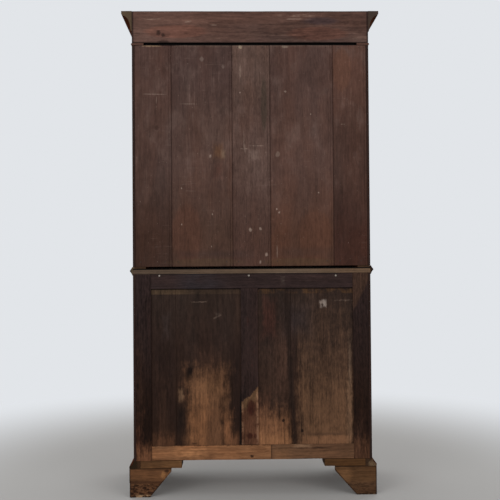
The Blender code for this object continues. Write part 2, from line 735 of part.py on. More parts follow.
def hang(prefix, side, z_low, z_high):
    """Both hinges of one door and the empty on their common pin."""
    carrier = pivot(f"{prefix}_door_pivot", (side * AXIS_X, AXIS_Y, z_low))
    for word, level in (("low", z_low + HINGE_END_DISTANCE), ("high", z_high - HINGE_END_DISTANCE)):
        spot = Vector((side * AXIS_X, AXIS_Y, level))
        fixed = part(f"{prefix}_{word}_hinge_carcase_leaf", FIXED_LEAF, BRASS, at=spot)
        moving = part(f"{prefix}_{word}_hinge_door_leaf", MOVING_LEAF, BRASS, carrier, at=spot)
        for leaf in (fixed, moving):
            leaf.rotation_euler.y = 0.0 if side > 0 else math.pi
    return carrier


def rectangle(low_x, high_x, low_z, high_z):
    """Corners of an upright rectangle."""
    return [(low_x, low_z), (high_x, low_z), (high_x, high_z), (low_x, high_z)]


def inset(points, margin):
    """A convex outline, given anticlockwise, drawn in by a margin."""
    count = len(points)
    lines = []
    for spot in range(count):
        start, end = Vector(points[spot]), Vector(points[(spot + 1) % count])
        way = (end - start).normalized()
        lines.append((start + Vector((-way.y, way.x)) * margin, way))
    drawn = []
    for spot in range(count):
        base, way = lines[spot - 1]
        other, turn = lines[spot]
        run = (other - base).cross(turn) / way.cross(turn)
        drawn.append(tuple(base + way * run))
    return drawn


def panes(low_x, high_x, low_z, high_z):
    """The thirteen pane outlines of one glazed door, bars drawn on their centre lines."""
    mid_x, mid_z = (low_x + high_x) / 2, (low_z + high_z) / 2
    near, far = mid_x - GLASS_CENTRE_HALF_WIDTH, mid_x + GLASS_CENTRE_HALF_WIDTH
    under, over = mid_z - GLASS_CENTRE_HALF_HEIGHT, mid_z + GLASS_CENTRE_HALF_HEIGHT
    foot_point, top_point = under - GLASS_POINT_RISE, over + GLASS_POINT_RISE
    half_bar = GLAZING_BAR_WIDTH / 2
    edge = (low_x - half_bar, high_x + half_bar, low_z - half_bar, high_z + half_bar)
    left, right, bottom, top = edge
    outlines = [
        [(near, under), (mid_x, foot_point), (far, under), (far, over), (mid_x, top_point), (near, over)],
        [(near, bottom), (mid_x, bottom), (mid_x, foot_point), (near, under)],
        [(mid_x, bottom), (far, bottom), (far, under), (mid_x, foot_point)],
        [(near, over), (mid_x, top_point), (mid_x, top), (near, top)],
        [(mid_x, top_point), (far, over), (far, top), (mid_x, top)],
    ]
    for start, end in ((left, near), (far, right)):
        outlines.append(rectangle(start, end, bottom, under))
        outlines.append(rectangle(start, end, under, mid_z))
        outlines.append(rectangle(start, end, mid_z, over))
        outlines.append(rectangle(start, end, over, top))
    return [inset(outline, half_bar) for outline in outlines]


def catch_hole(door, spot):
    """Bore a door for the spindle of its catch."""
    mesh = round_mesh("bore", SPINDLE_RADIUS + SPINDLE_CLEARANCE, -OVERRUN, DOOR_THICK + OVERRUN, (0, 0))
    mesh.transform(Matrix.Translation(spot) @ Matrix.Rotation(-math.pi / 2, 4, "X"))
    return joinery(door, "DIFFERENCE", mesh)


def door_blank(name, side, carrier, z_low, z_high, holes):
    """A door frame with its openings and its hinge recesses."""
    outer = rectangle(*sorted((side * MEETING_GAP / 2, side * HALF)), z_low, z_high)
    mesh = prism_mesh(name, [outer] + holes, FRONT_Y, DOOR_BACK_Y, "Y")
    made = part(name, mesh, SHOW_WOOD, carrier)
    gains = hinge_gains(z_low, z_high, DOOR_BACK_Y - LEAF_THICK - SEAT_GAP, DOOR_BACK_Y + OVERRUN)
    return joinery(made, "DIFFERENCE", box_mesh(name, [mirrored(*box, side) for box in gains]))


def glazed_door(prefix, side):
    """A door with thirteen panes and one sheet of glass behind the bars."""
    z_low, z_high = UPPER_DOOR_LOW, UPPER_DOOR_HIGH
    carrier = hang(prefix, side, z_low, z_high)
    low_x, high_x = sorted((side * (MEETING_GAP / 2 + GLAZED_STILE_WIDTH), side * (HALF - GLAZED_STILE_WIDTH)))
    low_z, high_z = z_low + GLAZED_BOTTOM_RAIL_WIDTH, z_high - GLAZED_TOP_RAIL_WIDTH
    frame = door_blank(f"{prefix}_door_frame", side, carrier, z_low, z_high, panes(low_x, high_x, low_z, high_z))
    glass_y = FRONT_Y + GLAZING_BAR_DEPTH
    rebate = (
        (low_x - GLASS_REBATE, glass_y, low_z - GLASS_REBATE),
        (high_x + GLASS_REBATE, DOOR_BACK_Y + OVERRUN, high_z + GLASS_REBATE),
    )
    joinery(frame, "DIFFERENCE", box_mesh("rebate", [rebate]))
    sheet = GLASS_REBATE - SEAT_GAP
    board(
        f"{prefix}_door_glass",
        (low_x - sheet, glass_y + SEAT_GAP, low_z - sheet),
        (high_x + sheet, glass_y + SEAT_GAP + GLASS_THICK, high_z + sheet),
        GLASS,
        carrier,
    )
    return carrier, frame


def panelled_door(prefix, side):
    """A door with a raised and fielded panel held in grooves."""
    z_low, z_high = LOWER_DOOR_LOW, LOWER_DOOR_HIGH
    carrier = hang(prefix, side, z_low, z_high)
    low_x, high_x = sorted((side * (MEETING_GAP / 2 + PANEL_STILE_WIDTH), side * (HALF - PANEL_STILE_WIDTH)))
    low_z, high_z = z_low + PANEL_BOTTOM_RAIL_WIDTH, z_high - PANEL_TOP_RAIL_WIDTH
    opening = rectangle(low_x, high_x, low_z, high_z)
    frame = door_blank(f"{prefix}_door_frame", side, carrier, z_low, z_high, [opening])
    reach = PANEL_TONGUE - SEAT_GAP
    face_y = FRONT_Y + PANEL_FACE_INSET
    edge_low = (low_x - reach, face_y, low_z - reach)
    edge_high = (high_x + reach, face_y + PANEL_EDGE_THICK, high_z + reach)
    joinery(frame, "DIFFERENCE", box_mesh("groove", [grown((edge_low, edge_high))]))
    body = bmesh.new()
    body.from_mesh(box_mesh("blank", [(edge_low, edge_high)]))
    face = [side_face for side_face in body.faces if side_face.normal.y < -0.5]
    bmesh.ops.inset_region(body, faces=face, thickness=PANEL_TONGUE + PANEL_MARGIN, use_even_offset=True)
    slope, step = PANEL_RAISE - PANEL_FIELD_STEP, PANEL_FIELD_STEP
    bmesh.ops.inset_region(body, faces=face, thickness=PANEL_BEVEL_WIDTH, depth=slope, use_even_offset=True)
    bmesh.ops.inset_region(body, faces=face, thickness=PANEL_FIELD_STEP, depth=step, use_even_offset=True)
    mesh = bpy.data.meshes.new(f"{prefix}_door_panel")
    body.to_mesh(mesh)
    body.free()
    part(f"{prefix}_door_panel", mesh, SHOW_WOOD, carrier)
    return carrier, frame


def turn_catch(name, door, carrier, z):
    """A turned brass knob whose spindle carries a tongue behind the doors."""
    spot = Vector((MEETING_GAP / 2 + GLAZED_STILE_WIDTH / 2, FRONT_Y, z))
    catch_hole(door, spot)
    inside = -(DOOR_THICK + TONGUE_CLEARANCE + TONGUE_THICK + 0.002)
    waist = ROSE_THICK + (KNOB_REACH - ROSE_THICK) * 0.25
    ball = (KNOB_REACH - waist) / 2
    section = [(0.0, inside), (SPINDLE_RADIUS, inside), (SPINDLE_RADIUS, SEAT_GAP), (ROSE_RADIUS, SEAT_GAP)]
    section += [(ROSE_RADIUS, ROSE_THICK * 0.6), (ROSE_RADIUS * 0.8, ROSE_THICK), (ROSE_RADIUS * 0.42, ROSE_THICK)]
    section += [(ROSE_RADIUS * 0.36, waist - 0.001)]
    section += arc((0.0, waist + ball), (KNOB_RADIUS, ball), -64, 80, 7)
    section += [(0.0, KNOB_REACH)]
    mesh = bpy.data.meshes.new(name)
    edges = [(number, number + 1) for number in range(len(section) - 1)]
    mesh.from_pydata([(radius, 0.0, reach) for radius, reach in section], edges, [])
    lathe = bpy.data.objects.new(name + "_lathe", mesh)
    spin = lathe.modifiers.new("turn", "SCREW")
    spin.axis = "Z"
    spin.angle = math.tau
    spin.steps = ROUND_STEPS
    spin.render_steps = ROUND_STEPS
    spin.use_merge_vertices = True
    spin.merge_threshold = 1e-5
    spin.use_normal_calculate = True
    turned = settled_mesh(lathe)
    turned.transform(Matrix.Rotation(math.pi / 2, 4, "X"))
    body = bmesh.new()
    body.from_mesh(turned)
    bmesh.ops.recalc_face_normals(body, faces=body.faces)
    body.to_mesh(turned)
    body.free()
    axis = pivot(f"{name}_pivot", spot, carrier)
    knob = part(name, turned, BRASS, axis, at=Vector())
    knob.location = (0.0, 0.0, 0.0)
    bpy.context.view_layer.update()
    near = FRONT_Y + DOOR_THICK + TONGUE_CLEARANCE
    tongue = box_mesh(
        "tongue",
        [
            (
                (spot.x - TONGUE_WIDTH / 2, near, z - TONGUE_LENGTH),
                (spot.x + TONGUE_WIDTH / 2, near + TONGUE_THICK, z + TONGUE_WIDTH / 2),
            )
        ],
    )
    return joinery(knob, "UNION", tongue)


glazed_door("upper_left", -1)
upper_carrier, upper_frame = glazed_door("upper_right", 1)
turn_catch("upper_door_catch", upper_frame, upper_carrier, UPPER_DOOR_LOW + UPPER_CATCH_RISE)
panelled_door("lower_left", -1)
lower_carrier, lower_frame = panelled_door("lower_right", 1)
turn_catch("lower_door_catch", lower_frame, lower_carrier, LOWER_DOOR_LOW + LOWER_CATCH_RISE)
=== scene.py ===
"""Looks of a two-stage bookcase cabinet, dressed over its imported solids.

Metres, +Z up, the front faces -Y. Left and right in the names are as seen from the front.
"""
import math
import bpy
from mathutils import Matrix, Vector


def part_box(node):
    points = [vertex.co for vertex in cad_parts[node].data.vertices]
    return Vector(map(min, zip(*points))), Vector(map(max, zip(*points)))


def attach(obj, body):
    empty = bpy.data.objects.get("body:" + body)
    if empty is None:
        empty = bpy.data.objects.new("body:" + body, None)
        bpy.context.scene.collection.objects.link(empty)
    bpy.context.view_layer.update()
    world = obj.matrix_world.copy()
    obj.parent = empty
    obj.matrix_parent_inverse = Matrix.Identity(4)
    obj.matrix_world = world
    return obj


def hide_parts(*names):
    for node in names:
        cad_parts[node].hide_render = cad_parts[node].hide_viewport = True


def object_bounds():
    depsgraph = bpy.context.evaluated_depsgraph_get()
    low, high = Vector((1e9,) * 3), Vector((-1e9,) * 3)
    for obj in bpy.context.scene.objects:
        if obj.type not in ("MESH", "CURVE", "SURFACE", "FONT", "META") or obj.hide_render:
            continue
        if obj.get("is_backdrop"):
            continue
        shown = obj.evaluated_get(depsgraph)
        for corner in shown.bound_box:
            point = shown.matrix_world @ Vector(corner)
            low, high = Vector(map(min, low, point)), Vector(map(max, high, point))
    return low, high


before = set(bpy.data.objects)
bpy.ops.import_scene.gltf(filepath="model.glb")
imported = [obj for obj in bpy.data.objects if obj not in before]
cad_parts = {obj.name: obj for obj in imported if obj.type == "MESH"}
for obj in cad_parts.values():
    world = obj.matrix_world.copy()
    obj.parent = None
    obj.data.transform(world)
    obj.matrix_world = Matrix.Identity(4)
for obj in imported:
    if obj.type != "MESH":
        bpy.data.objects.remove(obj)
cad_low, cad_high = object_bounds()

from types import SimpleNamespace

import bmesh
import bpy
from mathutils import Matrix, Vector, noise

# Studio: a camera behind the cabinet at chest height, a pale floor that fades into a pale backdrop,
# and large soft lamps on every side. None of it belongs to the cabinet.
scene = bpy.context.scene
scene.view_settings.view_transform = "Standard"
camera = bpy.data.objects.new("camera", bpy.data.cameras.new("camera"))
camera.data.sensor_width = 36.0
camera.data.lens = 54.222
yaw, pitch, roll = (math.radians(angle) for angle in (-1.2322, 0.8664, -0.4132))
aim = Matrix.Rotation(math.pi + yaw, 4, "Z") @ Matrix.Rotation(math.pi / 2 + pitch, 4, "X")
camera.rotation_euler = (aim @ Matrix.Rotation(roll, 4, "Z")).to_euler()
camera.location = (0.0776, 3.4552, 1.0027)
scene.collection.objects.link(camera)
scene.camera = camera


class Tone:
    """A shader socket that sums can be written with."""

    def __init__(self, tree, socket=None):
        self.tree, self.socket = tree, socket

    def node(self, kind, settings=None, sockets=None, out=0):
        """Add any node: its settings first, then the values or links of its sockets."""
        made = self.tree.nodes.new("ShaderNode" + kind)
        for word, value in (settings or {}).items():
            if word == "stops":
                stops = made.color_ramp.elements
                while len(stops) < len(value):
                    stops.new(1.0)
                for stop, (spot, colour) in zip(stops, value):
                    stop.position, stop.color = spot, (*colour, 1.0)
            else:
                setattr(made, word, value)
        for key, value in (sockets or {}).items():
            if isinstance(value, Tone):
                self.tree.links.new(value.socket, made.inputs[key])
            else:
                made.inputs[key].default_value = value
        self.made = made
        return Tone(self.tree, made.outputs[out] if made.outputs else None)

    def maths(self, operation, *values):
        """Add a Math node on this value, or on the values given."""
        return self.node("Math", {"operation": operation}, dict(enumerate(values or (self,))))

    def __add__(self, other):
        return self.maths("ADD", self, other)

    def __radd__(self, other):
        return self.maths("ADD", other, self)

    def __sub__(self, other):
        return self.maths("SUBTRACT", self, other)

    def __rsub__(self, other):
        return self.maths("SUBTRACT", other, self)

    def __mul__(self, other):
        return self.maths("MULTIPLY", self, other)

    def __rmul__(self, other):
        return self.maths("MULTIPLY", other, self)

    def __truediv__(self, other):
        return self.maths("DIVIDE", self, other)

    def __or__(self, other):
        return self.maths("MAXIMUM", self, other)

    def __and__(self, other):
        return self.maths("MINIMUM", self, other)

    def __abs__(self):
        return self.maths("ABSOLUTE")

    def rise(self, low, high):
        """Go smoothly from 0 at low to 1 at high."""
        return self.node("MapRange", {"interpolation_type": "SMOOTHSTEP"}, {0: self, 1: low, 2: high})

    def fall(self, low, high):
        """Go smoothly from 1 at low to 0 at high."""
        return 1 - self.rise(low, high)

    def within(self, low, full, fade, high):
        """Rise from low to full and fall again from fade to high."""
        return self.rise(low, full) * self.fall(fade, high)

    def split(self):
        """The three parts of a vector."""
        self.node("SeparateXYZ", None, {0: self})
        return [Tone(self.tree, socket) for socket in self.made.outputs]

    def times(self, factors):
        """Multiply a colour or vector part by part."""
        return self.node("VectorMath", {"operation": "MULTIPLY"}, {0: self, 1: factors})

    def times_colour(self, colour):
        """A colour made lighter or darker by this value."""
        return self.node("VectorMath", {"operation": "SCALE"}, {0: colour, 3: self})

    def blend(self, first, second):
        """Mix two colours, the second where this value is 1."""
        return self.node("Mix", {"data_type": "RGBA"}, {0: self, 6: first, 7: second}, out=2)

    def noise(self, scale, detail=2.0, rough=0.5, out=0):
        """Cloudy noise at a place, drawn out where each axis has its own scale."""
        if isinstance(scale, tuple):
            return self.times(scale).noise(1.0, detail, rough, out)
        values = {"Vector": self, "Scale": scale, "Detail": detail, "Roughness": rough}
        return self.node("TexNoise", None, values, out)


def shade(red, green, blue):
    """A colour as seen on a screen, 0 to 255, as the light it gives back."""
    parts = (red, green, blue)
    return tuple(((part / 255 + 0.055) / 1.055) ** 2.4 if part > 10 else part / 3295 for part in parts)


def blank_finish(name):
    """A new material, and the places on its surface."""
    material = bpy.data.materials.new(name)
    material.use_nodes = True
    return material, Tone(material.node_tree).node("TexCoord", out=3)


def close_finish(material, values):
    """Close a finish: link what varies and set what doesn't."""
    shader = material.node_tree.nodes["Principled BSDF"]
    for word, value in values.items():
        if isinstance(value, Tone):
            value.tree.links.new(value.socket, shader.inputs[word])
        else:
            shader.inputs[word].default_value = value
    return material


def seen_rays(tree):
    """1 for rays that should meet the backdrop as it looks: straight, mirrored or through glass."""
    rays = Tone(tree)
    straight = rays.node("LightPath")
    sockets = rays.made.outputs
    return straight | Tone(tree, sockets["Is Glossy Ray"]) | Tone(tree, sockets["Is Transmission Ray"])


LAMP_RISE, LAMP_GOAL_RISE, LAMP_GOAL_OUT = 1.9, 0.9, 0.2
for name, x, y, width, watts in (
    ("back_lamp_left", 2.4, 3.4, 2.4, 56),
    ("back_lamp_right", -2.4, 3.4, 2.4, 47),
    ("front_lamp_left", -2.4, -3.4, 4.0, 56),
    ("front_lamp_right", 2.4, -3.4, 4.0, 56),
):
    light = bpy.data.lights.new(name, "AREA")
    light.size, light.energy = width, watts
    lamp = bpy.data.objects.new(name, light)
    lamp.location = (x, y, LAMP_RISE)
    goal = Vector((0.0, math.copysign(LAMP_GOAL_OUT, y), LAMP_GOAL_RISE))
    lamp.rotation_euler = (goal - lamp.location).to_track_quat("-Z", "Y").to_euler()
    lamp.visible_camera = False
    lamp.visible_glossy = y > 0
    scene.collection.objects.link(lamp)

BACKDROP = (*shade(226, 229, 233), 1.0)
FLOOR_GREY = (*shade(178, 177, 175), 1.0)
scene.world = bpy.data.worlds.new("studio")
scene.world.use_nodes = True
scene.world.node_tree.nodes.clear()
seen = seen_rays(scene.world.node_tree)
soft_light = seen.node("Background", None, {0: (1.0, 1.0, 1.0, 1.0), 1: 0.55})
backdrop = seen.node("Background", None, {0: BACKDROP, 1: 1.0})
seen.node("OutputWorld", None, {0: seen.node("MixShader", None, {0: seen, 1: soft_light, 2: backdrop})})

FLOOR_RADIUS, FADE_START, FADE_END = 14.0, 1.0, 2.6
body = bmesh.new()
bmesh.ops.create_circle(body, cap_ends=True, segments=96, radius=FLOOR_RADIUS)
mesh = bpy.data.meshes.new("floor")
body.to_mesh(mesh)
body.free()
floor = bpy.data.objects.new("floor", mesh)
scene.collection.objects.link(floor)
floor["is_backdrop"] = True
floor_paint, place = blank_finish("floor_paint")
close_finish(floor_paint, {"Base Color": FLOOR_GREY, "Roughness": 0.8, "Specular IOR Level": 0.1})
tree = floor_paint.node_tree
seen = seen_rays(tree)
fade = place.node("VectorMath", {"operation": "LENGTH"}, {0: place}, out=1).rise(FADE_START, FADE_END) * seen
near_floor = Tone(tree, tree.nodes["Principled BSDF"].outputs[0])
far_floor = seen.node("Emission", None, {0: BACKDROP, 1: 1.0})
mixed = seen.node("MixShader", None, {0: fade, 1: near_floor, 2: far_floor})
tree.links.new(mixed.socket, tree.nodes["Material Output"].inputs[0])
mesh.materials.append(floor_paint)


# Feet: four bracket feet, each of two boards glued round a corner with a square block behind. The boards at
# the back are plain and cut straight, the others have a swept edge. Wood, polished at the front and sides.
def timber(name, run, seed, zones, heart=0.0, rings=90.0, figure=0.16, streaks=1.0, mottle=0.7, flecks=0.6,
           rough=0.70):
    """Start a wood finish with grain along one axis; zones give its mean colour at heights up the cabinet."""
    material, place = blank_finish(name)
    x, y, z = place.split()
    along, across, through = {"X": (x, z, y), "Y": (y, z, x), "Z": (z, x, y)}[run]
    start = place.node("CombineXYZ", None, {0: across, 1: through, 2: along + seed * 1.913})
    across = across + (start.noise((3.0, 3.0, 1.3)) - 0.5) * 0.03
    grain = place.node("CombineXYZ", None, {0: across, 1: through + seed * 0.417, 2: along + seed * 1.913})
    broad = grain.noise((6.0, 6.0, 2.6), 4.0, 0.6)
    streak = grain.noise((75.0, 75.0, 4.0), 5.0, 0.70)
    fibre = grain.noise((420.0, 420.0, 11.0), 3.0, 0.6)
    fleck = grain.noise((170.0, 170.0, 40.0), 3.0, 0.65)
    cloud = place.noise(24.0, 6.0, 0.68)
    side = across - heart
    depth = along * 0.035 + (0.03 + 0.02 * (seed % 3)) + through * 0.5
    reach = (side * side + depth * depth).maths("SQRT")
    late = (reach * rings + broad * 1.6 + (streak - 0.5) * 0.5).maths("FRACT").within(0.30, 0.90, 0.92, 1.0)
    level = 1.0 + figure * 0.35 - late * figure + (broad - 0.5) * mottle + (streak - 0.5) * streaks
    level = level + (fibre - 0.5) * 0.55 + (cloud - 0.5) * 0.5 + (fleck - 0.5) * flecks
    if not isinstance(zones[0], tuple):
        zones = ((0.0, zones), (2.1, zones))
    low, high = zones[0][0], zones[-1][0]
    stops = [((height - low) / (high - low), shade(*colour)) for height, colour in zones]
    share = z.node("MapRange", None, {0: z, 1: low, 2: high})
    base = share.node("ValToRGB", {"stops": stops}, {0: share})
    hue = grain.noise((9.0, 9.0, 2.0), 3.0).rise(0.30, 0.70)
    colour = hue.blend(base.times((0.96, 1.01, 1.04)), base.times((1.05, 0.98, 0.93)))
    wave = place.noise(55.0, 4.0, 0.7, out=1).split()
    return SimpleNamespace(
        material=material,
        place=place,
        x=x + (wave[0] - 0.5) * 0.016,
        y=y,
        z=z + (wave[1] - 0.5) * 0.016,
        plain_x=x,
        plain_z=z,
        level=level,
        streak=streak,
        fibre=fibre,
        fleck=fleck,
        broad=broad,
        cloud=cloud,
        colour=level.times_colour(colour),
        rough=rough + (streak - 0.5) * 0.25 + (broad - 0.5) * 0.2,
        height=fibre * 0.7 - late * 0.4 + streak * 0.8,
    )


def polish(wood, specular=0.06, coat=0.0, depth=0.0005):
    """Close a wood finish, with the grain raised a little."""
    return close_finish(wood.material, {
        "Base Color": wood.colour,
        "Roughness": wood.rough,
        "Specular IOR Level": specular,
        "Normal": wood.place.node("Bump", None, {"Strength": 0.6, "Distance": depth, "Height": wood.height}),
        "Coat Weight": coat,
        "Coat Roughness": 0.22,
    })


def stain(wood, *marks):
    """Bring colours in where masks are 1, with the grain still showing: mask, red, green, blue."""
    for mask, *colour in marks:
        wood.colour = mask.blend(wood.colour, wood.level.times_colour(shade(*colour)))


def patch(wood, x, z, half_x, half_z, soft=0.6):
    """A ragged oval patch on an upright face: 1 inside, 0 outside."""
    across, up = (wood.x - x) / half_x, (wood.z - z) / half_z
    return (across * across + up * up).fall(max(0.0, 1 - soft), 1 + soft)


def along_grain(wood, mask, amount=1.0):
    """Break a patch up along the grain, with a soft edge."""
    broken = mask + (wood.streak - 0.5) * amount + (wood.fibre - 0.5) * 0.5 + (wood.broad - 0.5) * 0.6
    return broken.rise(0.15, 0.95)


def raise_shape(body, rings, looped=False):
    """Skin a row of rings; open rows get end caps that take the second finish."""
    laid = [[body.verts.new(spot) for spot in ring] for ring in rings]
    for ring, following in zip(laid, laid[1:] + laid[:1] * looped):
        for spot in range(len(ring)):
            after = (spot + 1) % len(ring)
            body.faces.new((ring[spot], ring[after], following[after], following[spot]))
    if not looped:
        for cap in (laid[0], laid[-1]):
            body.faces.new(cap).material_index = 1


def shaped(*rows):
    """A shape of one or more rows of rings."""
    body = bmesh.new()
    for rings in rows:
        raise_shape(body, rings)
    return body


def ease_edges(piece, width):
    """Take the sharpness off a piece's edges."""
    edge = piece.modifiers.new("eased_edges", "BEVEL")
    edge.width, edge.segments = width, 2
    edge.limit_method, edge.angle_limit = "ANGLE", math.radians(40)


def set_in(name, body, finishes, rides, slot, *stands_for, ease=0.0, smooth=False):
    """Turn a shape into a piece with its finishes, on its body, in the place of its solids."""
    bmesh.ops.recalc_face_normals(body, faces=body.faces)
    mesh = bpy.data.meshes.new(name)
    body.to_mesh(mesh)
    body.free()
    for finish in finishes:
        mesh.materials.append(finish)
    if smooth:
        mesh.polygons.foreach_set("use_smooth", [True] * len(mesh.polygons))
        mesh.set_sharp_from_angle(angle=math.radians(35))
    made = bpy.data.objects.new(name, mesh)
    scene.collection.objects.link(made)
    if ease:
        ease_edges(made, ease)
    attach(made, rides)
    if stands_for:
        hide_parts(*stands_for)


def sawn(low, high, run, seed, wander=0.0006, stops=None):
    """Rings of a board whose edges wander a little, always inwards."""
    axis = "XYZ".index(run)
    sides = [other for other in range(3) if other != axis]
    if stops is None:
        count = max(2, round((high[axis] - low[axis]) / 0.035))
        stops = [low[axis] + (high[axis] - low[axis]) * step / count for step in range(count + 1)]
    rings = []
    for stop in stops:
        ring = []
        for corner, ends in enumerate(((0, 0), (1, 0), (1, 1), (0, 1))):
            spot = Vector((0.0, 0.0, 0.0))
            spot[axis] = stop
            for side, end in zip(sides, ends):
                drift = noise.noise((stop * 9.0 + seed * 3.1, corner * 7.3, side * 5.7 + seed))
                pull = wander * (0.5 + 0.5 * drift)
                spot[side] = high[side] - pull if end else low[side] + pull
            ring.append(spot)
        rings.append(ring)
    return rings


end_wood = timber("end_grain", "Y", 41, (58, 41, 29), rings=240.0, figure=0.45, streaks=0.5, rough=0.8)
over, up = end_wood.plain_x, end_wood.plain_z
crown_end = up.rise(1.990, 2.000) * 0.8
waist_end = up.within(0.940, 0.945, 0.985, 0.990)
base_end = up.within(0.120, 0.123, 0.152, 0.156)
# Painted light on the moulding ends: the crown and waist ends are lighter on the +X side, as lit, and darker
# on the -X side, as painted shade; the base end has painted shade on the +X side and pale painted highlights
# on the -X side.
stain(
    end_wood,
    (up.within(1.930, 1.934, 1.946, 1.950) * 0.9, 82, 58, 50),
    (crown_end * over.rise(0.49, 0.52), 86, 72, 56),
    (crown_end * over.fall(-0.52, -0.49), 66, 55, 49),
    (waist_end * over.fall(-0.51, -0.50) * 0.8, 36, 27, 23),
    (waist_end * over.rise(0.50, 0.51) * 0.8, 92, 80, 62),
    (waist_end * abs(over).rise(0.5140, 0.5190) * 0.8, 36, 29, 25),
    (base_end * over.rise(0.49, 0.50) * 0.8, 32, 25, 15),
    (base_end * over.fall(-0.50, -0.49) * end_wood.cloud.rise(0.42, 0.56) * 0.7, 112, 90, 68),
)
END_GRAIN = polish(end_wood)
# A near-black finish of painted shade for the inner faces of the mouldings, where they face into the dark
# inside.
SHADED_INNER_FACE = polish(timber("painted_shade_inner_face", "X", 43, (12, 9, 8), rough=0.9))
SHOW_WOOD = {}
for seed, run in enumerate("XYZ", 3):
    name = f"polished_mahogany_{run.lower()}"
    wood = timber(name, run, seed, (88, 46, 29), rings=130.0, figure=0.26, rough=0.36)
    pores = wood.place.noise(tuple(60 if axis == run else 900 for axis in "XYZ"), 1.0).rise(0.60, 0.68)
    wood.colour = (pores * 0.6).blend(wood.colour, (*shade(38, 18, 12), 1.0))
    wood.height = wood.height - pores * 0.8
    specular, coat = 0.25, 0.12
    if run == "Y":
        # The side runs get painted shade, darker towards the back.
        stain(wood, (wood.y.rise(0.08, 0.22) * 0.6, 42, 28, 22))
        specular, coat = 0.0, wood.y.fall(-0.15, 0.05) * 0.2
    SHOW_WOOD[run] = polish(wood, specular, coat, depth=0.0002)

FOOT_OUT, BACK, FOOT_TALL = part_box("rear_right_foot")[1]
FOOT_FRONT, FOOT_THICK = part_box("front_right_foot")[0].y, 0.022
BLOCK_WIDE, BLOCK_LIFT, GLUE, PART_SUNK = 0.034, 0.004, 0.0004, 0.0012
SWEEP_START, SWEEP_LONG, SWEEP_TALL, SWEPT_LONG, SWEEP_STEPS = 0.072, 0.083, 0.102, 0.165, 18
swept = [(0.0, 0.0), (SWEEP_START, 0.0)]
for step in range(1, SWEEP_STEPS + 1):
    share = step / SWEEP_STEPS
    swept.append((SWEEP_START + SWEEP_LONG * share, SWEEP_TALL * (0.5 - 0.5 * math.cos(math.pi * share))))
swept += [(SWEPT_LONG, SWEEP_TALL), (SWEPT_LONG, FOOT_TALL), (0.0, FOOT_TALL)]
bracket_top = [(0.178, FOOT_TALL), (0.0, FOOT_TALL)]
STRAIGHT_BRACKETS = {
    "left": ([(0.0, 0.0), (0.086, 0.0), (0.178, 0.103)] + bracket_top,),
    "right": (
        [(0.0, 0.0), (0.0865, 0.0), (0.137, 0.0598), (0.0, 0.0598)],
        [(0.0, 0.0602), (0.1385, 0.0602), (0.174, 0.103), (0.178, 0.108)] + bracket_top,
    ),
}

rear_foot_woods = {}
for word, top, toe, seed, swirled in (
    ("right", (96, 66, 44), (80, 53, 36), 11, 0.8),
    ("left", (84, 57, 36), (77, 53, 36), 17, 0.4),
):
    zones = ((0.0, toe), (0.045, toe), (0.065, top), (0.12, top))
    wood = timber(f"rear_{word}_foot_wood", "X", seed, zones,
                  rings=110.0, figure=0.18, streaks=1.5, mottle=1.3, flecks=1.0)
    swirl = abs((wood.place.noise((26.0, 26.0, 60.0), 4.0, 0.6) * 5.0).maths("FRACT") - 0.5)
    toe_end = wood.z.fall(0.050, 0.064)
    stain(
        wood,
        (wood.streak.rise(0.54, 0.66) * 0.6, 46, 30, 20),
        (toe_end * swirl.rise(0.22, 0.36) * swirled, 30, 18, 12),
    )
    if word == "right":
        stain(
            wood,
            (toe_end * swirl.fall(0.04, 0.14) * 0.5, 118, 84, 58),
            (patch(wood, 0.374, 0.092, 0.020, 0.018, 0.9) * wood.cloud.rise(0.40, 0.60) * 0.8, 148, 104, 64),
            (patch(wood, 0.370, 0.110, 0.010, 0.006, 0.8) * 0.8, 40, 25, 16),
            (abs(wood.plain_z - 0.064).fall(0.003, 0.008) * 0.6, 48, 28, 20),
        )
    else:
        stain(wood, (patch(wood, -0.388, 0.088, 0.034, 0.034, 0.9) * 0.45, 124, 88, 58))
    # Painted shade along the sawn diagonal, the outer end and the top edge of each rear bracket.
    inward = FOOT_OUT - abs(wood.plain_x)
    slope = (0.0863 + wood.plain_z * 0.87 - inward) / 1.32
    shaded_rim = slope.fall(0.001, 0.006) | inward.fall(0.002, 0.007) | wood.plain_z.rise(0.1165, 0.1205)
    stain(
        wood,
        (along_grain(wood, wood.z.fall(0.0, 0.014)) * 0.5, 34, 25, 19),
        (wood.plain_z.fall(0.006, 0.014) * wood.cloud.rise(0.46, 0.52) * 0.75, 168, 136, 104),
        (shaded_rim * (0.5 + wood.cloud * 0.4), 26, 17, 12),
    )
    rear_foot_woods[word] = polish(wood)

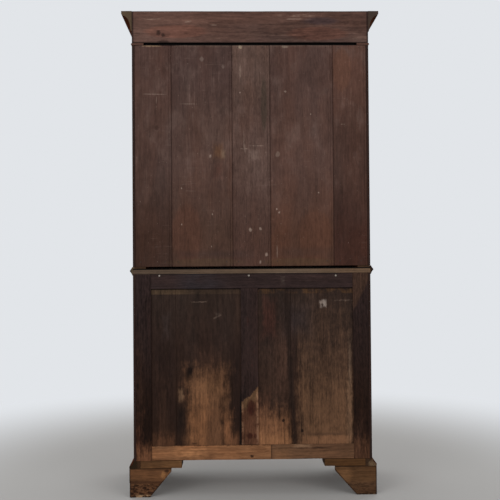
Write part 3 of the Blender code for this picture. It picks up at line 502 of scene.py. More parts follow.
for word, side in (("left", -1), ("right", 1)):
    rows = []
    for number, outline in enumerate(STRAIGHT_BRACKETS[word], 1):
        sunk = PART_SUNK if number < len(STRAIGHT_BRACKETS[word]) else 0.0
        faces = (BACK - sunk, BACK - FOOT_THICK)
        rows.append([[Vector((side * (FOOT_OUT - run - sunk), y, up)) for run, up in outline] for y in faces])
    set_in(f"rear_{word}_foot_back_bracket", shaped(*rows), (rear_foot_woods[word],) * 2,
           "carcase", "show_wood", f"rear_{word}_foot", ease=0.0014)
    for end, corner, inward in (("rear", BACK, -1), ("front", FOOT_FRONT, 1)):
        rings = []
        start = 0.0 if end == "front" else FOOT_THICK
        for x, least in ((FOOT_OUT, start), (FOOT_OUT - FOOT_THICK, FOOT_THICK)):
            rings.append([Vector((side * x, corner + inward * max(run, least), up)) for run, up in swept])
        set_in(f"{end}_{word}_foot_side_bracket", shaped(rings), (SHOW_WOOD["Y"],) * 2,
               "carcase", "show_wood", ease=0.0012)
        reach = (FOOT_THICK + GLUE, FOOT_THICK + BLOCK_WIDE)
        low_x, high_x = sorted(side * (FOOT_OUT - run) for run in reach)
        low_y, high_y = sorted(corner + inward * run for run in reach)
        rings = sawn((low_x, low_y, BLOCK_LIFT), (high_x, high_y, FOOT_TALL - 0.0002), "Z", 5 + side, 0.0012)
        set_in(f"{end}_{word}_foot_glue_block", shaped(rings), (rear_foot_woods["left"], END_GRAIN),
               "carcase", "inside_wood", ease=0.0015)
    rings = []
    for y, least in ((FOOT_FRONT, 0.0), (FOOT_FRONT + FOOT_THICK, FOOT_THICK)):
        rings.append([Vector((side * (FOOT_OUT - max(run, least)), y, up)) for run, up in swept])
    set_in(f"front_{word}_foot_front_bracket", shaped(rings), (SHOW_WOOD["X"],) * 2,
           "carcase", "show_wood", f"front_{word}_foot", ease=0.0012)

# Rear foot blocks: sawn softwood lengths glued under the bottom at the back, which pack the feet out.
# They are left rough, with the grain along the cabinet.
for word, tone, seed in (("right", (104, 72, 46), 23), ("left", (76, 51, 30), 29)):
    wood = timber(f"rear_{word}_block_wood", "X", seed, tone,
                  rings=120.0, figure=0.18, streaks=1.5, flecks=1.0, rough=0.8)
    stain(wood, (along_grain(wood, wood.broad.rise(0.5, 0.7)) * 0.5, 48, 32, 21))
    low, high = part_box(f"rear_{word}_foot_block")
    set_in(f"rear_{word}_sawn_block", shaped(sawn(low, high, "X", seed, 0.0014)), (polish(wood), END_GRAIN),
           "carcase", "back_wood", f"rear_{word}_foot_block", ease=0.0012)

# Base moulding: a hollow over a fillet, worked on three lengths that are mitred at the front corners and
# left square at the back. Polished wood, glued and blocked to the feet.
HALF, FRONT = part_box("lower_right_side")[1].x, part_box("lower_right_door_frame")[0].y


def arc(centre, radii, start, end, steps):
    """Points of an oval arc, angles in degrees."""
    angles = [math.radians(start + (end - start) * step / steps) for step in range(steps + 1)]
    return [(centre[0] + radii[0] * math.cos(turn), centre[1] + radii[1] * math.sin(turn)) for turn in angles]


def mitred_run(name, section, base, *stands_for, back_y=BACK, inner=SHADED_INNER_FACE):
    """Three mitred lengths of a moulding of (out, up) points round the sides and the front."""
    corners = {
        "left": ((-1, 0, back_y), (-1, -1, FRONT)),
        "front": ((-1, -1, FRONT), (1, -1, FRONT)),
        "right": ((1, -1, FRONT), (1, 0, back_y)),
    }
    for word, ends in corners.items():
        rings = []
        for side, turn, y in ends:
            rings.append([Vector((side * (HALF + out), y + turn * out, base + up)) for out, up in section])
        body = shaped(rings)
        body.faces.ensure_lookup_table()
        # The inner face takes the inner finish, by default the near-black painted shade.
        body.faces[len(section) - 1].material_index = 2
        finish = SHOW_WOOD["X" if word == "front" else "Y"]
        nodes = stands_for if word == "front" else ()
        set_in(f"{name}_{word}", body, (finish, END_GRAIN, inner),
               "carcase", "show_wood", *nodes, smooth=True)


base_section = [(-0.028, 0.0003), (0.018, 0.0003), (0.019, 0.0013), (0.019, 0.010)]
base_section += arc((0.018, 0.029), (0.015, 0.018), 270, 180, 12) + [(0.003, 0.0317), (-0.028, 0.0317)]
mitred_run("base_moulding", base_section, FOOT_TALL, "base_moulding")


# Lower carcase: two polished sides, with a bottom, a shelf and a top of plain wood housed between them.
# The solids have the joints, so they are kept, with their edges eased.
def dress(node, finish, ease=0.0008):
    """Give a solid its finish and take the sharpness off its edges."""
    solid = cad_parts[node]
    solid.data.materials.clear()
    solid.data.materials.append(finish)
    weld = solid.modifiers.new("weld", "WELD")
    weld.merge_threshold = 1e-5
    flat = solid.modifiers.new("flat_faces", "DECIMATE")
    flat.decimate_type, flat.angle_limit = "DISSOLVE", math.radians(1)
    ease_edges(solid, ease)


INSIDE_WOOD = polish(timber("plain_inside_x", "X", 51, (116, 82, 55), rings=80.0, figure=0.22, rough=0.6))
wood = timber("carcase_side_wood", "Z", 61, (86, 45, 28), rings=110.0, figure=0.26, rough=0.38)
rear_edge = wood.y.rise(0.2190, 0.2215)
stain(wood, (rear_edge * 0.9, 34, 25, 22))
wood.rough = wood.rough + rear_edge * 0.4
CARCASE_SIDE = polish(wood, specular=0.12, coat=(1 - rear_edge) * 0.10, depth=0.0002)
for word in ("left", "right"):
    dress(f"lower_{word}_side", CARCASE_SIDE)
for node in ("lower_bottom_board", "lower_shelf"):
    dress(node, INSIDE_WOOD)
wood = timber("lower_top_wood", "X", 71, (92, 75, 61), rings=140.0, figure=0.25, rough=0.75)
stain(
    wood,
    (wood.x.rise(0.10, 0.45) * 0.5, 62, 53, 46),
    (wood.x.fall(-0.45, -0.20) * 0.5, 104, 80, 60),
    # Painted shade, near-black, on the rear edge of the top, in the gap under the waist moulding.
    (wood.plain_z.rise(0.9690, 0.9702) * wood.y.rise(0.2195, 0.2215), 7, 6, 5),
)
dress("lower_top_board", polish(wood))

# Lower back: a frame of stiles, rails and a muntin with two panels in its grooves, each panel glued up from
# two boards. Softwood stained nearly black, worn back to bare brown wood low down by damp and cleaning.
SEAT, TOP_RAIL_SUNK = 0.0003, 0.0007
STILE_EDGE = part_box("lower_back_right_stile")[0].x - SEAT
RAIL_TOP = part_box("lower_back_bottom_rail_left")[1].z + SEAT
RAIL_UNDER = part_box("lower_back_top_rail")[0].z - SEAT


def back_member(node, name, wood, run, seed, wander=0.0007):
    """One length of the back frame over its solid, without the tenons."""
    low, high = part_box(node)
    if run == "X":
        low.x, high.x = max(low.x, -STILE_EDGE), min(high.x, STILE_EDGE)
    elif node.endswith("muntin"):
        low.z, high.z = RAIL_TOP, RAIL_UNDER
    if node.endswith("top_rail"):
        high.y, high.z = high.y - TOP_RAIL_SUNK, high.z + SEAT
    stain(wood, (wood.y.fall(low.y + 0.001, low.y + 0.003), 92, 62, 42))
    set_in(name, shaped(sawn(low, high, run, seed, wander)), (polish(wood), END_GRAIN),
           "carcase", "back_wood", node, ease=0.0009)


def wear(wood, areas):
    """Rub areas of an upright face: x and z from and to, softness across and along, strength, colour."""
    cloud, streak, fleck = (wood.cloud - 0.5) * 2.4, (wood.streak - 0.5) * 2.0, (wood.fleck - 0.5) * 1.4
    for low_x, high_x, low_z, high_z, soft_x, soft_z, strength, colour in areas:
        sides = ((wood.x - low_x) / soft_x) & ((high_x - wood.x) / soft_x)
        ends = ((wood.z - low_z) / soft_z) & ((high_z - wood.z) / soft_z)
        worn = ((sides & ends) + cloud + streak + fleck).rise(-1.1, 1.7)
        stain(wood, (worn * strength, *colour))


def scratch(wood, x0, z0, x1, z1, width=0.0022):
    """A thin broken line between two spots of an upright face."""
    long = math.hypot(x1 - x0, z1 - z0)
    over, up = (x1 - x0) / long, (z1 - z0) / long
    run = (wood.plain_x - x0) * over + (wood.plain_z - z0) * up
    off = (wood.plain_z - z0) * over - (wood.plain_x - x0) * up
    ends = run.within(0.0, long * 0.25, long * 0.75, long)
    return abs(off).fall(width * 0.3, width) * ends * wood.fleck.rise(0.36, 0.56)


stile_grain = {"streaks": 1.8, "flecks": 2.2}
zones = ((0.16, (26, 14, 9)), (0.42, (28, 16, 11)), (0.6, (37, 25, 22)), (0.95, (42, 30, 28)))
wood = timber("back_right_stile_wood", "Z", 83, zones, **stile_grain)
wear(wood, (
    (0.470, 0.497, 0.240, 0.620, 0.010, 0.12, 0.3, (56, 37, 28)),
    (0.474, 0.500, 0.100, 0.300, 0.010, 0.08, 0.5, (78, 48, 34)),
    (0.425, 0.510, 0.100, 0.215, 0.010, 0.03, 0.8, (108, 71, 49)),
))
back_member("lower_back_right_stile", "back_stile_right", wood, "Z", 83)
zones = ((0.16, (34, 19, 13)), (0.42, (35, 21, 15)), (0.6, (38, 26, 23)), (0.95, (42, 30, 28)))
wood = timber("back_left_stile_wood", "Z", 89, zones, **stile_grain)
wedge = (wood.x + 0.4327) * -1.0 - (wood.plain_z - 0.775) * 0.50
stain(wood, (wedge.fall(-0.010, 0.004) * wood.plain_z.rise(0.770, 0.83) * 0.45, 76, 54, 40))
wear(wood, (
    (-0.470, -0.425, 0.100, 0.300, 0.008, 0.05, 0.5, (66, 45, 35)),
    (-0.510, -0.425, 0.100, 0.245, 0.010, 0.03, 0.75, (84, 56, 40)),
))
back_member("lower_back_left_stile", "back_stile_left", wood, "Z", 89)

zones = ((0.22, (42, 30, 27)), (0.89, (46, 34, 32)))
wood = timber("back_muntin_wood", "Z", 97, zones, streaks=1.4, flecks=1.8)
torn = wood.z - 0.456 + (wood.plain_x + 0.021) * 0.84 + (wood.cloud - 0.5) * 0.09 + (wood.fleck - 0.5) * 0.03
bare = torn.fall(-0.005, 0.004)
edges = abs(wood.plain_x - 0.013).rise(0.022, 0.034) * wood.cloud.rise(0.38, 0.55)
stain(
    wood,
    (bare * 0.85, 86, 55, 39),
    (bare * torn.rise(-0.055, -0.020) * 0.7, 108, 81, 57),
    (bare * edges * 0.6, 142, 106, 82),
)
for x, z, half_x, half_z, strength in (
    (0.0085, 0.378, 0.020, 0.036, 0.9),
    (0.014, 0.255, 0.013, 0.014, 0.9),
    (-0.008, 0.256, 0.007, 0.010, 0.7),
):
    spread = patch(wood, x, z, half_x, half_z, 1.0) + (wood.streak - 0.5) * 1.2 + (wood.cloud - 0.5) * 1.2
    stain(wood, (spread.rise(0.1, 1.1) * strength, 50, 23, 17))
back_member("lower_back_muntin", "back_muntin", wood, "Z", 97)

wood = timber("back_top_rail_wood", "X", 101, (46, 35, 34), streaks=1.2, flecks=1.1)
stain(
    wood,
    # Painted shadow along the top of the rail, under the waist moulding.
    (wood.plain_z.rise(0.9455, 0.9495) * 0.7, 20, 16, 15),
    (wood.x.within(0.05, 0.20, 0.25, 0.36) * wood.broad.rise(0.4, 0.6) * 0.5, 42, 40, 44),
    (wood.x.fall(-0.35, -0.1) * wood.streak.rise(0.5, 0.65) * 0.4, 66, 47, 44),
)
wear(wood, ((-0.140, -0.125, 0.905, 0.935, 0.005, 0.01, 0.5, (84, 72, 66)),))
back_member("lower_back_top_rail", "back_top_rail", wood, "X", 101, 0.0001)

rail_grain = {"figure": 0.12, "streaks": 1.5, "mottle": 1.5, "flecks": 1.0}
wood = timber("back_bottom_rail_right_wood", "X", 103, (132, 90, 61), rough=0.72, **rail_grain)
curl = wood.place.noise((14.0, 10.0, 60.0), 4.0, 0.6).rise(0.52, 0.68)
stain(wood, (curl * 0.55, 88, 56, 36))
wear(wood, (
    (0.205, 0.330, 0.168, 0.212, 0.050, 0.016, 0.6, (172, 120, 80)),
    (0.166, 0.200, 0.140, 0.204, 0.014, 0.02, 0.6, (84, 54, 36)),
    (0.330, 0.440, 0.200, 0.230, 0.040, 0.008, 0.5, (104, 78, 58)),
    (0.060, 0.150, 0.192, 0.206, 0.030, 0.006, 0.5, (92, 58, 38)),
    (-0.020, 0.060, 0.176, 0.186, 0.030, 0.006, 0.4, (92, 58, 38)),
    (-0.100, 0.440, 0.130, 0.161, 0.020, 0.006, 0.5, (74, 48, 32)),
))
stain(
    wood,
    (patch(wood, 0.005, 0.169, 0.008, 0.006) * 0.9, 46, 27, 19),
    (wood.z.rise(0.2130, 0.2180) * 0.75, 50, 32, 23),
)
back_member("lower_back_bottom_rail_right", "back_bottom_rail_right", wood, "X", 103, 0.0022)
wood = timber("back_bottom_rail_left_wood", "X", 107, (96, 68, 49), rough=0.75, **rail_grain)
split = abs(wood.plain_z - 0.201 - (wood.broad - 0.5) * 0.016 - (wood.cloud - 0.5) * 0.006)
stain(
    wood,
    (split.fall(0.001, 0.0035) * wood.x.rise(-0.36, -0.26) * 0.75, 40, 27, 20),
    (abs(wood.plain_x + 0.077).fall(0.002, 0.006) * 0.7, 60, 40, 28),
)
wear(wood, (
    (-0.440, -0.200, 0.195, 0.230, 0.040, 0.012, 0.4, (70, 48, 36)),
    (-0.155, -0.078, 0.150, 0.205, 0.020, 0.020, 0.5, (118, 82, 56)),
    (-0.236, -0.180, 0.205, 0.216, 0.020, 0.003, 0.6, (136, 106, 82)),
    (-0.322, -0.262, 0.198, 0.206, 0.020, 0.003, 0.7, (44, 29, 21)),
))
back_member("lower_back_bottom_rail_left", "back_bottom_rail_left", wood, "X", 107, 0.0022)

PANEL_BEVEL, BEVEL_DEEP, PANEL_STEPS = 0.8625, 0.004, 18
PANEL_JOINT = ((0.0008, 0.0), (0.0, 0.0016), (-0.0008, 0.0))
panel_zones = ((0.21, (46, 30, 22)), (0.45, (46, 31, 24)), (0.65, (46, 33, 28)), (0.89, (45, 34, 29)))
panel_grain = {"figure": 0.10, "streaks": 1.3, "mottle": 0.9, "flecks": 1.3}


def panel(word, wood, seam_x, bare, bare_colour, inside_colour):
    """A panel with a bevel behind the top rail, painted shadow along its top edge under the rail, plain
    inside and jointed at one place.
    """
    stain(
        wood,
        (wood.plain_z.rise(PANEL_BEVEL, PANEL_BEVEL + 0.002) * bare * 0.75, *bare_colour),
        # Painted shadow, near-black, along the top of the panel under the top rail.
        (wood.plain_z.rise(0.8810, 0.8850) * 0.85, 20, 14, 12),
        (wood.y.fall(0.2100, 0.2115), *inside_colour),
    )
    low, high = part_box(f"lower_back_{word}_panel")
    stops = [low.z + (PANEL_BEVEL - low.z) * step / PANEL_STEPS for step in range(PANEL_STEPS + 1)] + [high.z]
    rings = sawn(low, high, "Z", 131 + seam_x, 0.0007, stops)
    for spot in rings[-1][2:]:
        spot.y -= BEVEL_DEEP
    for ring in rings:
        wander = 0.0006 * noise.noise((ring[0].z * 12.0, seam_x, 4.0))
        x, (_, y, z) = seam_x + wander, ring[2]
        ring[3:3] = [Vector((x + over, y - deep, z)) for over, deep in PANEL_JOINT]
    set_in(f"back_panel_{word}", shaped(rings), (polish(wood), END_GRAIN),
           "carcase", "back_wood", f"lower_back_{word}_panel")


wood = timber("back_right_panel_wood", "Z", 113, panel_zones, heart=0.2, **panel_grain)
wear(wood, (
    (0.330, 0.432, 0.300, 0.680, 0.014, 0.060, 0.6, (34, 23, 20)),
    (0.050, 0.092, 0.270, 0.640, 0.012, 0.060, 0.7, (31, 21, 19)),
    (0.120, 0.235, 0.520, 0.620, 0.030, 0.050, 0.5, (68, 47, 37)),
    (0.112, 0.290, 0.100, 0.530, 0.030, 0.060, 0.85, (98, 67, 47)),
    (0.120, 0.270, 0.400, 0.520, 0.030, 0.040, 0.4, (126, 89, 62)),
    (0.195, 0.276, 0.100, 0.400, 0.022, 0.080, 0.65, (128, 86, 57)),
    (0.090, 0.130, 0.100, 0.340, 0.016, 0.050, 0.7, (126, 84, 57)),
    (0.365, 0.412, 0.100, 0.500, 0.012, 0.080, 0.35, (66, 45, 34)),
    (0.336, 0.428, 0.100, 0.268, 0.014, 0.024, 0.6, (94, 62, 43)),
    (0.056, 0.104, 0.100, 0.268, 0.010, 0.020, 0.7, (104, 69, 48)),
    (0.283, 0.331, 0.262, 0.400, 0.012, 0.030, 0.85, (27, 19, 16)),
    (0.297, 0.319, 0.410, 0.458, 0.006, 0.012, 0.6, (120, 92, 70)),
    (0.258, 0.284, 0.508, 0.543, 0.007, 0.010, 0.9, (25, 17, 15)),
    (0.240, 0.262, 0.220, 0.229, 0.006, 0.003, 0.9, (34, 20, 14)),
    (0.355, 0.385, 0.680, 0.770, 0.012, 0.030, 0.4, (64, 54, 52)),
    (0.140, 0.158, 0.772, 0.782, 0.006, 0.004, 0.4, (84, 70, 62)),
    (0.198, 0.256, 0.828, 0.832, 0.010, 0.002, 0.75, (112, 94, 82)),
))
stain(
    wood,
    # Painted shade in the gap beside the muntin, on the lower part of the panel's edge.
    (wood.plain_x.fall(0.0535, 0.060) * wood.z.fall(0.40, 0.50) * 0.95, 16, 12, 11),
    (patch(wood, 0.279, 0.512, 0.011, 0.019, 0.9) * 0.6, 36, 23, 16),
    (patch(wood, 0.268, 0.538, 0.010, 0.013, 0.8) * 0.85, 20, 12, 10),
    (scratch(wood, 0.172, 0.756, 0.126, 0.778, 0.005) * 0.4, 100, 84, 74),
)
panel("right", wood, 0.328, 0.35 + 0.65 * wood.x.rise(0.25, 0.32), (73, 57, 42), (96, 64, 43))
wood = timber("back_left_panel_wood", "Z", 127, panel_zones, heart=-0.3, **panel_grain)
wear(wood, (
    (-0.400, -0.235, 0.640, 0.840, 0.040, 0.080, 0.5, (64, 47, 38)),
    (-0.419, -0.200, 0.100, 0.680, 0.024, 0.180, 0.8, (84, 61, 46)),
    (-0.415, -0.205, 0.100, 0.440, 0.024, 0.120, 0.6, (108, 77, 55)),
    (-0.424, -0.205, 0.100, 0.254, 0.008, 0.006, 0.6, (124, 87, 62)),
    (-0.426, -0.402, 0.200, 0.480, 0.006, 0.050, 0.4, (122, 93, 71)),
    (-0.385, -0.252, 0.254, 0.264, 0.010, 0.004, 0.4, (50, 35, 28)),
    (-0.150, -0.020, 0.300, 0.640, 0.020, 0.080, 0.4, (68, 49, 40)),
    (-0.160, -0.096, 0.420, 0.690, 0.014, 0.080, 0.6, (76, 54, 44)),
    (-0.074, -0.018, 0.100, 0.430, 0.012, 0.050, 0.6, (88, 58, 43)),
    (-0.162, -0.018, 0.100, 0.350, 0.014, 0.060, 0.9, (120, 82, 57)),
    (-0.162, -0.018, 0.100, 0.262, 0.014, 0.020, 0.6, (140, 97, 66)),
    (-0.102, -0.042, 0.680, 0.840, 0.014, 0.040, 0.5, (76, 44, 36)),
    (-0.250, -0.140, 0.690, 0.810, 0.030, 0.040, 0.5, (48, 41, 42)),
    (-0.318, -0.302, 0.806, 0.834, 0.004, 0.006, 0.75, (158, 144, 134)),
    (-0.302, -0.290, 0.818, 0.832, 0.004, 0.005, 0.6, (146, 130, 120)),
    (-0.299, -0.292, 0.802, 0.826, 0.003, 0.005, 0.6, (150, 134, 124)),
    (-0.430, -0.360, 0.831, 0.834, 0.020, 0.002, 0.7, (96, 80, 70)),
    (-0.424, -0.412, 0.470, 0.660, 0.004, 0.060, 0.35, (120, 98, 80)),
))
seam = abs(wood.x + 0.150 + (0.83 - wood.plain_z) * 0.04)
stain(
    wood,
    (patch(wood, -0.3015, 0.8125, 0.004, 0.006, 0.6) * 0.85, 50, 37, 30),
    (seam.fall(0.004, 0.018) * (0.35 + 0.45 * wood.z.rise(0.24, 0.42)), 35, 25, 21),
    (patch(wood, -0.130, 0.320, 0.006, 0.006, 0.7) * 0.9, 24, 16, 13),
    (patch(wood, -0.211, 0.274, 0.006, 0.006, 0.7) * 0.9, 24, 16, 13),
)
panel("left", wood, -0.164, wood.cloud.rise(0.42, 0.60), (72, 50, 32), (98, 66, 44))

# Waist moulding: a rounded nosing round the top of the lower stage, with a flat lip on which the upper
# stage stands. Polished wood in three mitred lengths, open at the back.
waist_section = [(0.0003, -0.005), (0.003, -0.005), (0.0042, 0.0), (0.0065, 0.0045), (0.0100, 0.0095)]
waist_section += arc((0.0110, 0.0144), (0.0020, 0.0030), -60, 60, 6)
waist_section += [(0.0100, 0.0193), (0.0060, 0.0250), (0.0025, 0.031)]
waist_section += [(-0.055, 0.031), (-0.055, 0.0233), (0.0003, 0.0233)]
mitred_run("waist_moulding", waist_section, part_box("lower_right_side")[1].z, "waist_moulding")

# Upper carcase: polished sides with a row of shelf grooves, a bottom, a top and two shelves of plain wood.
# The solids have the joints, so they are kept, with their edges eased.
for word in ("left", "right"):
    dress(f"upper_{word}_side", CARCASE_SIDE)
for node in ("upper_bottom_board", "upper_top_board", "upper_shelf_1", "upper_shelf_2"):
    dress(node, INSIDE_WOOD)

# Upper back: five matched softwood boards of odd widths, each with a bead worked beside its joint. Stained
# brown, dry and scuffed, with paint specks and scratches; plain inside, where the stain never reached.
BOARD_SEAMS = (-0.500, -0.354, -0.082, 0.081, 0.342, 0.500)
BOARD_TONES = (
    ((62, 39, 32), (73, 52, 45), (84, 60, 52)),
    ((79, 53, 42), (84, 62, 55), (80, 59, 53)),
    ((76, 53, 45), (83, 62, 55), (91, 70, 62)),
    ((73, 52, 43), (80, 59, 52), (72, 53, 48)),
    ((59, 41, 34), (75, 56, 50), (77, 56, 50)),
)
BOARD_PATCHES = (
    (0.281, 1.121, 0.065, 0.130, 0.45, (88, 57, 45)),
    (-0.274, 1.111, 0.075, 0.115, 0.50, (92, 60, 46)),
    (-0.393, 1.828, 0.040, 0.095, 0.50, (98, 66, 52)),
    (-0.056, 1.680, 0.014, 0.120, 0.60, (62, 53, 44)),
    (0.405, 1.580, 0.008, 0.010, 0.60, (48, 32, 27)),
    (0.211, 1.875, 0.009, 0.010, 0.45, (122, 106, 98)),
    (0.119, 1.842, 0.006, 0.008, 0.40, (122, 104, 95)),
    (0.044, 1.820, 0.0035, 0.028, 0.55, (128, 108, 96)),
    (-0.114, 1.463, 0.009, 0.012, 0.55, (126, 106, 95)),
    (0.045, 1.928, 0.008, 0.008, 0.75, (150, 132, 112)),
    (-0.149, 1.929, 0.013, 0.005, 0.60, (138, 120, 106)),
    (0.20, 1.000, 0.16, 0.016, 0.35, (78, 62, 46)),
    (-0.20, 1.000, 0.15, 0.016, 0.35, (82, 64, 46)),
)
BOARD_WEAR = (
    (0.122, 0.162, 1.446, 1.510, 0.010, 0.016, 0.60, (104, 70, 44)),
    (0.112, 0.128, 1.450, 1.480, 0.006, 0.010, 0.60, (126, 104, 84)),
    (0.128, 0.155, 1.370, 1.425, 0.010, 0.020, 0.40, (96, 62, 52)),
    (-0.034, 0.010, 1.438, 1.480, 0.012, 0.010, 0.60, (124, 104, 95)),
    (-0.080, 0.080, 1.350, 1.560, 0.030, 0.060, 0.25, (104, 84, 76)),
    (0.090, 0.220, 1.440, 1.640, 0.030, 0.080, 0.30, (98, 78, 70)),
    (-0.350, -0.090, 1.020, 1.060, 0.040, 0.010, 0.35, (66, 50, 44)),
    (0.000, 0.330, 1.020, 1.050, 0.040, 0.010, 0.35, (56, 44, 42)),
    (-0.340, 0.330, 1.928, 1.940, 0.040, 0.004, 0.35, (112, 94, 82)),
    (0.390, 0.464, 1.929, 1.940, 0.006, 0.002, 0.75, (150, 122, 96)),
)
BOARD_SPECKS = (
    (0.047, 1.731, 0.0045), (-0.149, 1.734, 0.0055), (-0.257, 1.636, 0.004), (0.300, 1.319, 0.0035),
    (0.168, 1.206, 0.004), (0.300, 1.164, 0.005), (-0.107, 1.226, 0.0045), (-0.120, 1.213, 0.006),
    (-0.288, 1.296, 0.004), (0.006, 1.138, 0.009), (-0.037, 1.142, 0.007), (0.174, 1.068, 0.0035),
    (-0.062, 1.032, 0.008), (-0.036, 1.000, 0.008), (0.176, 1.457, 0.008),
)
BOARD_SCRATCHES = (
    (0.310, 1.682, 0.215, 1.681), (0.473, 1.725, 0.352, 1.723), (-0.386, 1.592, -0.407, 1.592),
    (0.031, 1.570, 0.032, 1.463), (0.050, 1.488, 0.008, 1.488), (0.405, 1.72, 0.407, 1.66),
    (0.015, 1.50, -0.060, 1.50), (0.028, 1.53, 0.026, 1.46), (0.046, 1.487, 0.012, 1.487),
    (-0.108, 1.098, -0.109, 1.008),
)
BOARD_LOW, BOARD_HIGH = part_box("upper_back_board_1")
QUIRK_IN, QUIRK_WIDE, EASED, BOARD_STEPS = 0.0105, 0.0014, 0.0022, 30
GROOVE = ((0.0004, 0.2130), (0.0054, 0.2130), (0.0054, 0.2180), (0.0004, 0.2180))
TONGUE = ((-0.0004, 0.2177), (0.0052, 0.2177), (0.0052, 0.2133), (-0.0004, 0.2133))


def back_board_rings(low_x, high_x, seed, grooved, tongued):
    """Rings up a back board: eased edges, a quirk beside the joint, a little cup, ragged ends."""
    low_x, high_x = low_x + SEAT, high_x - SEAT
    quirk = low_x + QUIRK_IN
    flat = quirk + QUIRK_WIDE
    face = [low_x + EASED, quirk - QUIRK_WIDE, quirk - 0.0005, quirk + 0.0005, flat]
    count = max(3, round((high_x - quirk) / 0.022))
    face += [flat + (high_x - EASED - flat) * step / count for step in range(1, count + 1)]
    rings = []
    for step in range(BOARD_STEPS + 1):
        z = BOARD_LOW.z + (BOARD_HIGH.z - BOARD_LOW.z) * step / BOARD_STEPS
        lean = [abs(0.0003 * noise.noise((z * 8.0, seed, edge))) for edge in (0, 9)]
        start, end = low_x + lean[0], high_x - lean[1]
        ring = [Vector((end, BOARD_LOW.y, z)), Vector((start, BOARD_LOW.y, z))]
        if grooved:
            ring += [Vector((low_x + out, y, z)) for out, y in GROOVE]
        ring.append(Vector((start, BACK - EASED, z)))
        for spot, x in enumerate(face):
            share = (x - low_x) / (high_x - low_x)
            cup = 0.0007 * (2 * share - 1) ** 2 + 0.0003 * (1 + noise.noise((x * 30.0, z * 4.0, seed)))
            dip = 0.0013 if spot in (2, 3) else 0.0
            ring.append(Vector((x, BACK - cup - dip, z)))
        ring.append(Vector((end, BACK - EASED, z)))
        if tongued:
            ring += [Vector((high_x + out, y, z)) for out, y in TONGUE]
        if step in (0, BOARD_STEPS):
            ragged = 0.0012 if step == 0 else -0.0022
            for spot in ring[2:]:
                spot.z += ragged * (0.5 + 0.5 * noise.noise((spot.x * 55.0, seed, step)))
        rings.append(ring)
    return rings


for number, (low_x, high_x, tones) in enumerate(zip(BOARD_SEAMS, BOARD_SEAMS[1:], BOARD_TONES), 1):
    mid_x, half = (low_x + high_x) / 2, (high_x - low_x) / 2
    heights = ((0.98, 1.12), (1.40, 1.60), (1.80, 1.94))
    zones = [(height, tone) for pair, tone in zip(heights, tones) for height in pair]
    wood = timber(f"upper_back_wood_{number}", "Z", 140 + 7 * number, zones, heart=mid_x, rings=70.0,
                  figure=0.05, streaks=0.8, mottle=0.8, flecks=1.2 if number == 3 else 0.8)
    dry = wood.streak.rise(0.54, 0.70) * wood.cloud.rise(0.40, 0.60) * wood.z.rise(1.1, 1.5)
    smoke = wood.place.noise((14.0, 14.0, 8.0), 5.0, 0.6)
    rubbed = wood.place.noise((9.0, 9.0, 110.0), 4.0, 0.65).rise(0.58, 0.70)
    stain(
        wood,
        (dry * 0.22, 116, 96, 88),
        (smoke.rise(0.50, 0.68) * wood.z.rise(1.10, 1.50) * 0.32, 106, 86, 79),
        (smoke.fall(0.34, 0.48) * 0.30, 58, 41, 36),
        (rubbed * wood.broad.rise(0.45, 0.60) * 0.30, 114, 94, 86),
        (wood.place.noise(150.0, 1.0).rise(0.755, 0.79) * 0.3, 148, 128, 116),
    )
    for x, z, half_x, half_z, strength, colour in BOARD_PATCHES:
        if low_x - 0.02 < x < high_x + 0.02 or half_x > 0.1:
            mask = patch(wood, x, z, half_x, half_z)
            stain(wood, ((along_grain(wood, mask, 0.8) if half_z > 0.05 else mask) * strength, *colour))
    wear(wood, [area for area in BOARD_WEAR if area[1] > low_x and area[0] < high_x])
    specks = [speck for speck in BOARD_SPECKS if low_x < speck[0] < high_x]
    lines = [line for line in BOARD_SCRATCHES if low_x < (line[0] + line[2]) / 2 < high_x]
    marks = [patch(wood, x, z, radius * 0.6, radius * 0.9, 0.9) * 0.7 for x, z, radius in specks]
    marks += [scratch(wood, *line) * 0.45 for line in lines]
    total = marks[0]
    for mark in marks[1:]:
        total = total | mark
    stain(
        wood,
        (total, 146, 126, 114),
        (abs(wood.plain_x - mid_x).rise(half - 0.006, half) * 0.45, 42, 27, 23),
        (wood.y.fall(0.2095, 0.2110), 104, 72, 49),
    )
    rings = back_board_rings(low_x, high_x, number * 3.7, number > 1, number < 5)
    set_in(f"upper_back_matched_board_{number}", shaped(rings), (polish(wood), END_GRAIN),
           "carcase", "back_wood", f"upper_back_board_{number}")

# Cornice: a neck bead, a plain frieze and a hollow crown in mitred lengths, polished. Behind it a stained
# softwood board is let in, with its grain along, some knots and a blue stain, and painted shade along its
# bottom edge. A strip is glued under it, its rear face painted near-black as the shade in the gap.
CORNICE_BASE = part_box("upper_right_side")[1].z
CORNICE_SCRATCHES = (
    (0.285, 2.034, 0.250, 2.040), (0.470, 2.048, 0.380, 2.050), (0.180, 2.022, 0.140, 2.023),
    (-0.150, 2.048, -0.230, 2.049),
)
neck_section = [(-0.050, 0.0003), (0.0, 0.0003)] + arc((0.0, 0.005), (0.004, 0.004), -80, 80, 8)
mitred_run("cornice_neck", neck_section + [(0.0, 0.010), (-0.050, 0.010)], CORNICE_BASE)
frieze_section = [(-0.020, 0.0102), (0.0, 0.0102), (0.0, 0.148), (-0.020, 0.148)]
mitred_run("cornice_frieze", frieze_section, CORNICE_BASE, back_y=0.2042, inner=INSIDE_WOOD)
crown_section = [(0.0, 0.062), (0.004, 0.062), (0.004, 0.067)]
crown_section += arc((0.039, 0.069), (0.033, 0.059), 180, 90, 18)
crown_section += [(0.041, 0.128), (0.041, 0.134), (0.045, 0.136), (0.045, 0.148), (0.0, 0.148)]
mitred_run("cornice_crown", crown_section, CORNICE_BASE, "cornice_moulding")

